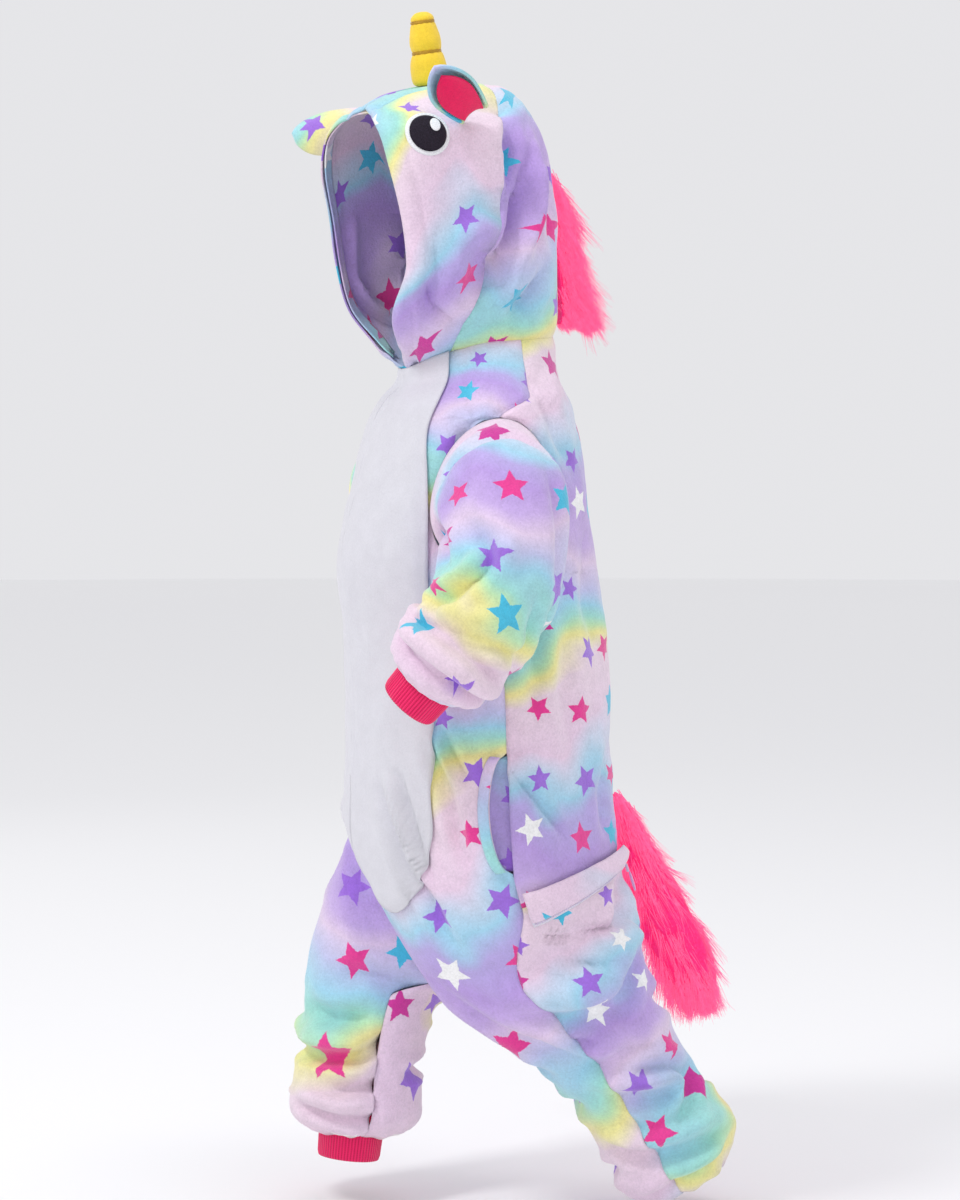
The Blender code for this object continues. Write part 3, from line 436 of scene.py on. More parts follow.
def spread(cloth: Cloth, datum_u: float, top: float) -> np.ndarray:
    """Return the print's coordinates in metres on a cloth spread flat, which keeps the print's shapes.

    Args:
        cloth: The cloth.
        datum_u: The share across at which the print's columns start.
        top: The print's height, in metres, at the cloth's last row.

    Returns:
        Two coordinates for each point.
    """
    rough = arc_shares(cloth, datum_u, top)
    piece = finished("pattern", cloth_mesh(cloth, rough), None)
    bpy.context.view_layer.objects.active = piece
    bpy.ops.object.mode_set(mode="EDIT")
    bpy.ops.mesh.select_all(action="SELECT")
    bpy.ops.uv.unwrap(method="CONFORMAL", margin=0.0)
    bpy.ops.object.mode_set(mode="OBJECT")
    mesh = piece.data
    found = np.empty(2 * len(mesh.loops), dtype=np.float32)
    mesh.uv_layers["print"].data.foreach_get("uv", found)
    corners = np.empty(len(mesh.loops), dtype=np.int32)
    mesh.loops.foreach_get("vertex_index", corners)
    flat = np.empty((len(mesh.vertices), 2))
    flat[corners] = found.reshape(-1, 2)
    bpy.data.objects.remove(piece)
    bpy.data.meshes.remove(mesh)
    target = (rough[..., 0] + 1j * rough[..., 1]).ravel()
    best = None
    for mirror in (1, -1):
        made = flat[:, 0] + 1j * mirror * flat[:, 1]
        away, wanted = made - made.mean(), target - target.mean()
        scale = (away.conj() * wanted).sum() / (abs(away) ** 2).sum()
        fitted = away * scale + target.mean()
        miss = abs(fitted - target).mean()
        if best is None or miss < best[0]:
            best = (miss, fitted)
    fitted = best[1].reshape(cloth.across.shape)
    return np.stack([fitted.real, fitted.imag], axis=-1)


# ---------------------------------------------------------------- the forms that the cloth follows
@lru_cache(maxsize=None)
def body_ring(height: float) -> BodyRow:
    """Return the straight body's ring at any height."""
    return BodyRow(height, *(read(BODY_ROWS, height, column) for column in BodyRow._fields[1:]))


@lru_cache(maxsize=None)
def hood_ring(row: float) -> HoodRow:
    """Return the hood's ring at any place between its rows."""
    return HoodRow(*(read(HOOD_ROWS, row, column, key=None) for column in HoodRow._fields))


class WalkingBody:
    """The torso and the two legs, in the walking pose."""

    def __init__(self) -> None:
        """Work out the middle line of each swung leg."""
        self.axes = {side: self.leg_axis(side) for side in Side}

    @staticmethod
    def leg_axis(side: Side) -> list[tuple[float, float, float]]:
        """Return a swung leg's middle line.

        Args:
            side: The leg.

        Returns:
            Its y, z and lean at even steps down the straight leg.
        """
        y, z, height, line = 0.0, SWING_START, SWING_START, []
        while height > SWING_END:
            lean = math.radians(read(SWINGS[side], height, "angle"))
            line.append((y, z, lean))
            share = LEG_SHARE[side] if height < LEG_START else 1.0
            y += SWING_STEP * share * math.sin(lean)
            z -= SWING_STEP * share * math.cos(lean)
            height -= SWING_STEP
        return line

    def swung(self, side: Side, point: Vector) -> Vector:
        """Return a point of the straight garment, in millimetres, after one leg's swing."""
        steps = (SWING_START - point.z) / SWING_STEP
        if steps <= 0:
            return point.copy()
        line = self.axes[side]
        i = min(int(steps), len(line) - 2)
        y, z, lean = (a + (b - a) * (steps - i) for a, b in zip(line[i], line[i + 1]))
        return Vector((point.x, y + point.y * math.cos(lean), z + point.y * math.sin(lean)))

    def posed(self, point: Vector) -> Vector:
        """Return a point of the straight garment, in millimetres, in the walking pose."""
        web = read(WEBS, point.z, "half_width")
        share = ease((point.x + web) / (2 * web))
        return self.swung(Side.RIGHT, point).lerp(self.swung(Side.LEFT, point), share)

    def surface(self, side: Side, angle: float, height: float) -> Vector:
        """Return the body's outer face.

        Args:
            side: The wearer's side.
            angle: Degrees round from the centre front; below 0 is the inside of a leg.
            height: The height on the straight garment.

        Returns:
            The point, in metres.
        """
        ring, turn = body_ring(height), math.radians(angle)
        middle, depth = (ring.front + ring.back) / 2, (ring.back - ring.front) / 2
        forward, backward = max(math.cos(turn), 0.0), max(-math.cos(turn), 0.0)
        shift = (-NECK_DIP_FRONT * forward**2 + NECK_RISE_BACK * backward) * ease((height + 60) / 80)
        shift += SEAT_RISE_BACK * backward * ease(1 - abs(height - SEAT_SEAM) / 110)
        beside = ease(1 - abs(angle - SIDE_SEAM + 4) / 26)
        puff = POCKET_PUFF * oval(height, POCKET_TOP, POCKET_BOTTOM) * beside
        x = max(max(ring.centre_x, 0.0) + ring.half_width * math.sin(turn), 0.0) + puff
        return self.posed(Vector((x * side.value, middle - depth * math.cos(turn), height + shift))) * MM

    @staticmethod
    def chart(angle: float, height: float) -> tuple[float, float]:
        """Return where a place lies on the flat chart, in millimetres."""
        return math.radians(angle) * body_ring(round(height, 3)).half_width, height

    def place(self, side: Side, angle: float, height: float) -> Place:
        """Return a point of the outer face with its place on the chart."""
        return self.surface(side, angle, height), *self.chart(angle, height)

    @staticmethod
    def inner_angle(height: float) -> float:
        """Return the angle at which a half ring meets the middle plane, or a leg its inseam."""
        ring = body_ring(height)
        return -math.degrees(math.asin(min(1.0, max(0.0, ring.centre_x / ring.half_width))))

    @staticmethod
    def give(height: float, gap: float) -> float:
        """Return a seam's gap, given in millimetres, as degrees on the ring."""
        return math.degrees(gap / body_ring(height).half_width)

    @staticmethod
    def side_edge(height: float, forwards: float) -> float:
        """Return the side seam's angle, moved by the armhole's half (forwards is -1 for the back panel)."""
        shift = SHOULDER_SHIFT * ease((height - ARM_TOP) / 26) - LEG_SHIFT * ease((SEAT_SEAM - height) / 70)
        return SIDE_SEAM + shift - forwards * ARM_HALF_ANGLE * oval(height, ARM_TOP, ARM_BOTTOM)

    def front_edges(self, height: float) -> tuple[float, float]:
        """Return the front panel's inner and side edges, as angles."""
        pocket = POCKET_ANGLE * oval(height, POCKET_TOP, POCKET_BOTTOM)
        return (self.inner_angle(height) + self.give(height, MIDDLE_EDGE),
                self.side_edge(height, 1) - pocket - self.give(height, EDGE))

    def back_edges(self, height: float) -> tuple[float, float]:
        """Return the back panel's side and middle edges, as angles."""
        return (self.side_edge(height, -1) + self.give(height, EDGE),
                180 - self.inner_angle(height) - self.give(height, MIDDLE_EDGE))

    def belly_edges(self, height: float) -> tuple[float, float]:
        """Return the white panel's middle and outer edges, which close to a round bottom."""
        angle = read(BELLY_ROWS, height, "angle")
        if height < BELLY_CORNER:
            down = min(1.0, (BELLY_CORNER - height) / (BELLY_CORNER - BELLY_BOTTOM))
            angle *= (1 - down**BELLY_ROUND) ** (1 / BELLY_ROUND)
        return self.inner_angle(height) + self.give(height, MIDDLE_EDGE), max(angle, 3.0)


class HoodForm:
    """The hood, turned a little towards the wearer's left."""

    @staticmethod
    def turned(point: Vector) -> Vector:
        """Return a point of the hood, given facing forward in metres, where the hood is turned to."""
        share = ease((point.z / MM - 15) / 80)
        return Matrix.Rotation(math.radians(HOOD_TURN * share), 3, "Z") @ point

    @staticmethod
    def straight(angle: float, row: float) -> Vector:
        """Return the hood's outer face before it turns.

        Args:
            angle: Degrees round from the front; below 0 is the wearer's right.
            row: The place between the hood's rings.

        Returns:
            The point, in metres.
        """
        ring, turn = hood_ring(row), math.radians(angle)
        side, forward = math.sin(turn), math.cos(turn)
        power = 2 / ring.squareness if forward > 0 else 1.0
        depth = ring.middle - ring.front if forward > 0 else ring.back - ring.middle
        x = ring.half_width * math.copysign(abs(side) ** power, side)
        y = ring.middle - depth * math.copysign(abs(forward) ** power, forward)
        shift = -NECK_DIP_FRONT * max(forward, 0.0) ** 2 + NECK_RISE_BACK * max(-forward, 0.0)
        return Vector((x, y, ring.height + shift * ring.dip)) * MM

    @staticmethod
    def face_edge(row: float) -> float:
        """Return the angle at which the hood's face edge stands on a ring."""
        ring = hood_ring(row)
        if ring.opening <= 0.5 or ring.half_width <= 0:
            return 0.0
        return math.degrees(math.asin(min(1.0, ring.opening / ring.half_width) ** (ring.squareness / 2)))

    @staticmethod
    def chart(angle: float, row: float) -> tuple[float, float]:
        """Return where a place lies on the flat chart, in millimetres."""
        ring = hood_ring(row)
        return math.radians(angle) * (ring.half_width + 25), ring.height

    def lifted(self, angle: float, row: float, lift: float) -> Vector:
        """Return a point moved out from the straight hood's face along its normal, by millimetres."""
        step = 0.05
        over = self.straight(angle + step, row) - self.straight(angle - step, row)
        up = self.straight(angle, row + step) - self.straight(angle, row - step)
        return self.straight(angle, row) + over.cross(up).normalized() * lift * MM


class ArmForm:
    """A sleeve's form, from the dropped armhole down to the cuff."""

    ARMHOLE_INSET, ARMHOLE_INSET_ANGLE, BODY_GAP = 3.2, 1.2, 5.0

    def __init__(self, body: WalkingBody, side: Side) -> None:
        """Work out the sleeve's rings.

        Args:
            body: The body that the armhole lies on.
            side: The wearer's side.
        """
        self.body, self.side, self.rows = body, side, ARM_ROWS[side]
        self.middles = [Vector((row.x * side.value, row.y, row.z)) * MM for row in self.rows]
        self.frames = []
        for i in range(len(self.rows)):
            along = (self.middles[min(i + 1, len(self.rows) - 1)] - self.middles[max(i - 1, 0)]).normalized()
            if i == 0:
                along = Vector((0.7 * side.value, -0.08, -0.7)).normalized()
            back = (Vector((0, 1, 0)) - along * along.y).normalized()
            self.frames.append((along.cross(back) * side.value, back))
        steps = [0.0, 95.0] + [(b - a).length / MM for a, b in zip(self.middles, self.middles[1:])]
        self.depths = np.cumsum(steps)

    def ring(self, i: int, turn: float) -> Vector:
        """Return a point of one of the rings that the table gives; ring 0 is the armhole."""
        around = math.radians(turn)
        if i == 0:
            half = (ARM_TOP - ARM_BOTTOM) / 2
            height = (ARM_TOP + ARM_BOTTOM) / 2 + (half - self.ARMHOLE_INSET) * math.cos(around)
            angle = SIDE_SEAM + (ARM_HALF_ANGLE - self.ARMHOLE_INSET_ANGLE) * math.sin(around)
            return self.body.surface(self.side, angle, height)
        out, back = self.frames[i - 1]
        radius = self.rows[i - 1].radius * MM
        return self.middles[i - 1] + (out * math.cos(around) + back * math.sin(around)) * radius

    def chart(self, turn: float, row: float) -> tuple[float, float]:
        """Return where a place lies on the flat chart, in millimetres."""
        radius = self.rows[min(max(round(row) - 1, 0), len(self.rows) - 1)].radius
        return math.radians(turn) * radius, float(np.interp(row, range(len(self.depths)), self.depths))

    def place(self, turn: float, row: float) -> Place:
        """Return a point of the sleeve between its rings, kept clear of the torso, with its chart place."""
        last = len(self.rows)
        i = min(int(row), last - 1)
        start, end = self.ring(i, turn), self.ring(i + 1, turn)
        leave = (end - self.ring(max(i - 1, 0), turn)) / 2
        arrive = (self.ring(min(i + 2, last), turn) - start) / 2
        point = hermite(row - i, start, end, leave, arrive)
        if row > 0:
            point = self.clear(point, self.BODY_GAP * min(1.0, 6 * row / last))
        return point, *self.chart(turn, row)

    def clear(self, point: Vector, gap: float) -> Vector:
        """Return a point pressed out to a gap, in millimetres, from the torso's side."""
        ring, y = body_ring(round(point.z / MM, 1)), point.y / MM
        share = (y - (ring.front + ring.back) / 2) / ((ring.back - ring.front) / 2)
        if abs(share) >= 1:
            return point
        least = (ring.half_width * math.sqrt(1 - share**2) + gap) * MM
        return Vector((self.side.value * max(abs(point.x), least), point.y, point.z))


# ---------------------------------------------------------------- folds, as places on the forms
LEFT_BODY_FOLDS = (
    Fold(((40, -690), (66, -706), (96, -706), (124, -722)), 8, -5),
    Fold(((28, -842), (70, -840), (110, -846), (150, -838)), 6, -6),
    Fold(((70, -664), (92, -684), (120, -694)), 9, -5),
    Fold(((30, -640), (42, -668), (58, -690)), 9, -5),
    Fold(((24, -435), (35, -483), (44, -526), (46, -557)), 8, -7),
    Fold(((35, -414), (41, -462), (47, -510)), 6, -5.5),
    Fold(((29, -424), (38, -470), (45, -515)), 6, 3.5),
    Fold(((82, -402), (93, -435), (108, -479)), 5, -3.5),
    Fold(((52, -364), (58, -392), (64, -415)), 6, -4.5),
    Fold(((49, -388), (56, -432), (61, -483), (65, -497)), 7, -6),
    Fold(((92, -232), (98, -300), (96, -352)), 11, -4),
    Fold(((118, -262), (110, -330), (118, -392)), 13, -3.5),
    Fold(((140, -180), (134, -250), (143, -310)), 14, -3.5),
    Fold(((150, -390), (136, -440), (140, -500)), 13, -3.5),
    Fold(((168, -300), (160, -372), (166, -440)), 12, -3),
    Fold(((58, -26), (66, -58), (60, -96)), 9, -3),
    Fold(((108, -20), (118, -60), (130, -110)), 10, -3.5),
    Fold(((62, -616), (80, -632), (98, -640), (116, -632), (134, -612)), 17, 10),
    Fold(((58, -638), (73, -652), (88, -661), (104, -668), (120, -655), (138, -636)), 9, -12),
    Fold(((104, -588), (126, -607), (146, -600)), 6, -6),
    Fold(((96, -608), (106, -627), (120, -625)), 6, -6),
    Fold(((86, -572), (100, -588)), 6, -4),
    Fold(((150, -572), (140, -600), (150, -630)), 8, -5),
    Fold(((60, -668), (73, -681)), 6, -5),
    Fold(((90, -728), (128, -749), (140, -766)), 7, -7),
    Fold(((62, -738), (90, -756), (122, -768)), 8, -7),
    Fold(((60, -722), (88, -740), (118, -752)), 8, 4),
    Fold(((146, -760), (122, -783), (93, -792)), 7, -7),
    Fold(((24, -781), (61, -803), (85, -811), (140, -829)), 7, -7),
    Fold(((20, -766), (60, -789), (88, -797), (138, -812)), 9, 4.5),
    Fold(((150, -690), (172, -704), (196, -700)), 8, -6),
    Fold(((160, -776), (186, -786), (214, -780)), 7, -6),
    Fold(((-36, -640), (-10, -676), (16, -690)), 8, -5),
    Fold(((-44, -720), (-12, -738), (20, -734)), 8, -6),
    Fold(((-52, -806), (-20, -815), (14, -806)), 7, -6),
    Fold(((20, -590), (26, -640), (34, -690)), 10, -4),
)
RIGHT_BODY_FOLDS = (
    Fold(((-16, -723), (-40, -726), (-74, -720)), 8, -8),
    Fold(((6, -770), (-40, -769), (-72, -763), (-96, -742)), 7, -11),
    Fold(((0, -752), (-40, -752), (-74, -746)), 11, 6),
    Fold(((-50, -804), (-94, -791)), 7, -6),
    Fold(((-14, -826), (-62, -833), (-98, -829)), 6, -7),
    Fold(((-20, -812), (-60, -817), (-96, -811)), 9, 5),
    Fold(((-40, -690), (-70, -676), (-96, -684)), 8, -5),
    Fold(((14, -716), (52, -729), (96, -720)), 8, -7),
    Fold(((10, -768), (58, -757), (112, -766), (150, -752)), 8, -9),
    Fold(((12, -752), (60, -742), (110, -749)), 11, 5),
    Fold(((30, -806), (86, -797), (140, -809)), 7, -6),
    Fold(((14, -829), (70, -834), (150, -826)), 6, -7),
    Fold(((120, -700), (160, -712), (200, -704)), 8, -6),
    Fold(((166, -778), (200, -770), (236, -782)), 7, -6),
    Fold(((20, -612), (44, -640), (60, -652)), 8, -6),
    Fold(((58, -640), (90, -654), (122, -640)), 9, -9),
    Fold(((60, -620), (90, -634), (120, -622)), 15, 6),
    Fold(((104, -580), (128, -598), (150, -590)), 7, -5),
    Fold(((146, -612), (132, -634), (150, -648)), 8, -6),
    Fold(((28, -452), (37, -494), (42, -540)), 8, -6),
    Fold(((47, -398), (54, -444), (62, -492)), 7, -5),
    Fold(((86, -398), (98, -446), (104, -486)), 6, -4),
    Fold(((88, -236), (94, -296), (90, -346)), 11, -4),
    Fold(((120, -246), (112, -322), (122, -400)), 13, -4),
    Fold(((146, -190), (138, -262), (148, -330)), 14, -3.5),
    Fold(((158, -400), (148, -450), (154, -506)), 12, -3.5),
    Fold(((60, -30), (70, -66), (62, -104)), 9, -3),
    Fold(((112, -24), (122, -66), (134, -104)), 10, -3),
)
LEFT_ARM_FOLDS = (
    Fold(((-70, 6.3), (-20, 6.1), (30, 6.3), (80, 6.1)), 6, -7),
    Fold(((-120, 6.6), (-70, 6.8), (-24, 6.6)), 5, -5),
    Fold(((-52, 2.2), (-30, 2.7), (-22, 3.4)), 9, -6),
    Fold(((30, 3.4), (50, 4.0), (48, 4.7)), 9, -5),
    Fold(((-78, 0.7), (-40, 0.62), (0, 0.55), (34, 0.7)), 9, -5),
    Fold(((-20, 2.9), (-33, 3.3), (-60, 4.0), (-88, 4.6)), 7, -10),
    Fold(((-4, 2.6), (-24, 3.0), (-52, 3.6)), 10, 4),
    Fold(((-92, 4.8), (-45, 4.75), (-8, 4.45), (18, 4.3)), 6, -8),
    Fold(((-84, 5.2), (-24, 4.9), (14, 4.5), (40, 4.4)), 5, -7),
    Fold(((-98, 5.55), (-42, 5.15), (-15, 5.05), (32, 5.15)), 6, -10),
    Fold(((-96, 5.9), (-40, 5.6), (-10, 5.5), (34, 5.6)), 8, 6),
    Fold(((60, 3.4), (96, 4.2), (140, 4.5)), 8, -7),
    Fold(((98, 1.6), (132, 2.4), (176, 2.8)), 10, -5),
    Fold(((62, 5.2), (120, 5.0), (176, 5.3)), 6, -8),
    Fold(((-176, 4.4), (-140, 4.9), (-104, 4.9)), 7, -7),
    Fold(((30, 1.2), (48, 2.0), (56, 2.9)), 10, -4),
    Fold(((-120, 1.4), (-96, 2.2), (-80, 3.2)), 9, -5),
)
RIGHT_ARM_FOLDS = (
    Fold(((-74, 0.65), (-34, 0.6), (8, 0.6), (40, 0.75)), 9, -5),
    Fold(((-60, 3.4), (-10, 3.9), (40, 3.6)), 8, -8),
    Fold(((-80, 4.7), (-24, 4.4), (30, 4.8)), 6, -7),
    Fold(((20, 4.9), (80, 4.5), (140, 4.9)), 6, -7),
    Fold(((-110, 5.4), (-30, 5.2), (40, 5.5), (110, 5.2)), 6, -9),
    Fold(((-100, 5.8), (-20, 5.6), (60, 5.8)), 8, 5),
    Fold(((110, 2.6), (140, 3.4), (176, 3.7)), 9, -6),
    Fold(((-170, 1.8), (-130, 2.6), (-96, 2.8)), 9, -5),
    Fold(((30, 1.3), (44, 2.1), (40, 3.0)), 10, -4),
)
LEFT_HOOD_FOLDS = (
    Fold(((101, 6.3), (101, 5.5), (97, 4.6), (90, 3.9)), 9, -9),
    Fold(((112, 5.3), (108, 4.6), (98, 3.7), (90, 2.9), (86, 2.2)), 9, -10),
    Fold(((122, 6.0), (118, 5.0), (112, 4.0), (104, 3.0)), 12, 6),
    Fold(((96, 5.2), (94, 4.4), (88, 3.5)), 9, 4),
    Fold(((138, 5.6), (142, 4.6), (136, 3.6)), 11, -5),
    Fold(((128, 2.9), (112, 2.2), (98, 1.4)), 9, -6),
    Fold(((60, 2.5), (64, 1.9), (72, 1.3)), 8, -5),
    Fold(((70, 3.6), (66, 2.8), (62, 2.0)), 10, -3),
    Fold(((80, 8.4), (96, 7.8), (112, 7.2)), 12, -4),
)
RIGHT_HOOD_FOLDS = (
    Fold(((104, 6.2), (106, 5.2), (99, 4.2), (94, 3.4)), 10, -8),
    Fold(((120, 5.4), (116, 4.2), (104, 3.1), (92, 2.2)), 9, -8),
    Fold(((130, 6.1), (126, 4.9), (120, 3.8)), 12, 5),
    Fold(((146, 5.2), (148, 4.2), (140, 3.2)), 11, -5),
    Fold(((62, 2.7), (68, 1.9), (76, 1.3)), 8, -5),
    Fold(((74, 4.2), (68, 3.2), (64, 2.3)), 10, -3),
    Fold(((84, 8.2), (100, 7.6), (120, 7.4)), 12, -4),
)


# ---------------------------------------------------------------- finishes
def linear(colour: str) -> tuple[float, float, float, float]:
    """Return an sRGB hex colour as linear red, green, blue and alpha."""
    parts = [int(colour[i:i + 2], 16) / 255 for i in (1, 3, 5)]
    return *(p / 12.92 if p <= 0.04045 else ((p + 0.055) / 1.055) ** 2.4 for p in parts), 1.0


def add_node(tree: bpy.types.NodeTree, kind: str, settings: dict[str, Any] | None = None,
             inputs: dict[Any, Any] | None = None) -> bpy.types.Node:
    """Add a node to a material.

    Args:
        tree: The material's node tree.
        kind: The node's type.
        settings: Its properties.
        inputs: Its sockets' values, or the sockets that they are linked from.

    Returns:
        The node.
    """
    node = tree.nodes.new(kind)
    for name, value in (settings or {}).items():
        setattr(node, name, value)
    for key, value in (inputs or {}).items():
        if isinstance(value, bpy.types.NodeSocket):
            tree.links.new(value, node.inputs[key])
        else:
            node.inputs[key].default_value = value
    return node


def reckon(tree: bpy.types.NodeTree, values: dict[str, Any], steps: Sequence[tuple[str, str, Any, Any, Any]]
           ) -> None:
    """Work sums out in a material, each from values that are named or given.

    Args:
        tree: The material's node tree.
        values: The named values, which each step's result joins.
        steps: Each step's name, its operation and its three inputs. The step named mask is held to 0 to 1.
    """
    for name, operation, *inputs in steps:
        settings = {"operation": operation, "use_clamp": name == "mask"}
        sockets = {i: values.get(given, given) for i, given in enumerate(inputs)}
        values[name] = add_node(tree, "ShaderNodeMath", settings, sockets).outputs[0]


def set_ramp(ramp: bpy.types.ColorRamp, stops: Sequence[tuple[float, str]], blend: str = "LINEAR") -> None:
    """Set a colour ramp's stops, as places and sRGB colours."""
    ramp.interpolation = blend
    while len(ramp.elements) < len(stops):
        ramp.elements.new(0.5)
    for element, (place, _) in zip(ramp.elements, stops):
        element.position = place
    for element, (_, colour) in zip(ramp.elements, stops):
        element.color = linear(colour)


def new_material(name: str, values: dict[str, Any]) -> tuple[bpy.types.Material, bpy.types.Node]:
    """Return a new material and its Principled shader, with the values that are the same all over."""
    material = bpy.data.materials.new(name)
    material.use_nodes = True
    shader = material.node_tree.nodes["Principled BSDF"]
    for key, value in values.items():
        shader.inputs[key].default_value = value
    return material, shader


@dataclass(frozen=True)
class Pile:
    """The pile of a plush: tufts that catch the light, and broad strokes where a hand has brushed it."""

    tuft: float                          # how wide a tuft is, in millimetres; drawn coarse so that it shows
    height: float                        # how far the tufts stand out, in millimetres
    stroke: float                        # how wide a brushed patch is, in millimetres
    shade: float                         # how much darker the colour is painted in the hollows between tufts, as a share: painted shade

    def dress(self, tree: bpy.types.NodeTree, shader: bpy.types.Node, colour: Any) -> None:
        """Give a shader the pile's bump, and painted shade over a colour where the bump is low.

        Args:
            tree: The material's node tree.
            shader: Its Principled shader.
            colour: The cloth's colour, or the socket that gives it.
        """
        where = add_node(tree, "ShaderNodeTexCoord").outputs["Object"]
        tufts = add_node(tree, "ShaderNodeTexNoise", {}, {
            "Vector": where, "Scale": 1 / (self.tuft * MM), "Detail": 3.0, "Roughness": 0.65,
            "Distortion": 0.4})
        strokes = add_node(tree, "ShaderNodeTexNoise", {}, {
            "Vector": where, "Scale": 1 / (self.stroke * MM), "Detail": 2.0, "Roughness": 0.55})
        both = add_node(tree, "ShaderNodeMix", {"data_type": "FLOAT"}, {
            0: 0.35, 2: tufts.outputs["Fac"], 3: strokes.outputs["Fac"]})
        # Painted shade: the colour is darkened where the pile's height is low, in the hollows between tufts,
        # with uneven tone over the brushed strokes.
        light = add_node(tree, "ShaderNodeMapRange", {}, {
            0: both.outputs[0], 1: 0.3, 2: 0.62, 3: 1 - self.shade, 4: 1.0})
        shaded = add_node(tree, "ShaderNodeMix", {"data_type": "RGBA", "blend_type": "MULTIPLY"}, {
            0: 1.0, 6: colour, 7: light.outputs[0]})
        tree.links.new(shaded.outputs[2], shader.inputs["Base Color"])
        bump = add_node(tree, "ShaderNodeBump", {}, {
            "Strength": 0.9, "Distance": self.height * MM, "Height": both.outputs[0]})
        tree.links.new(bump.outputs["Normal"], shader.inputs["Normal"])


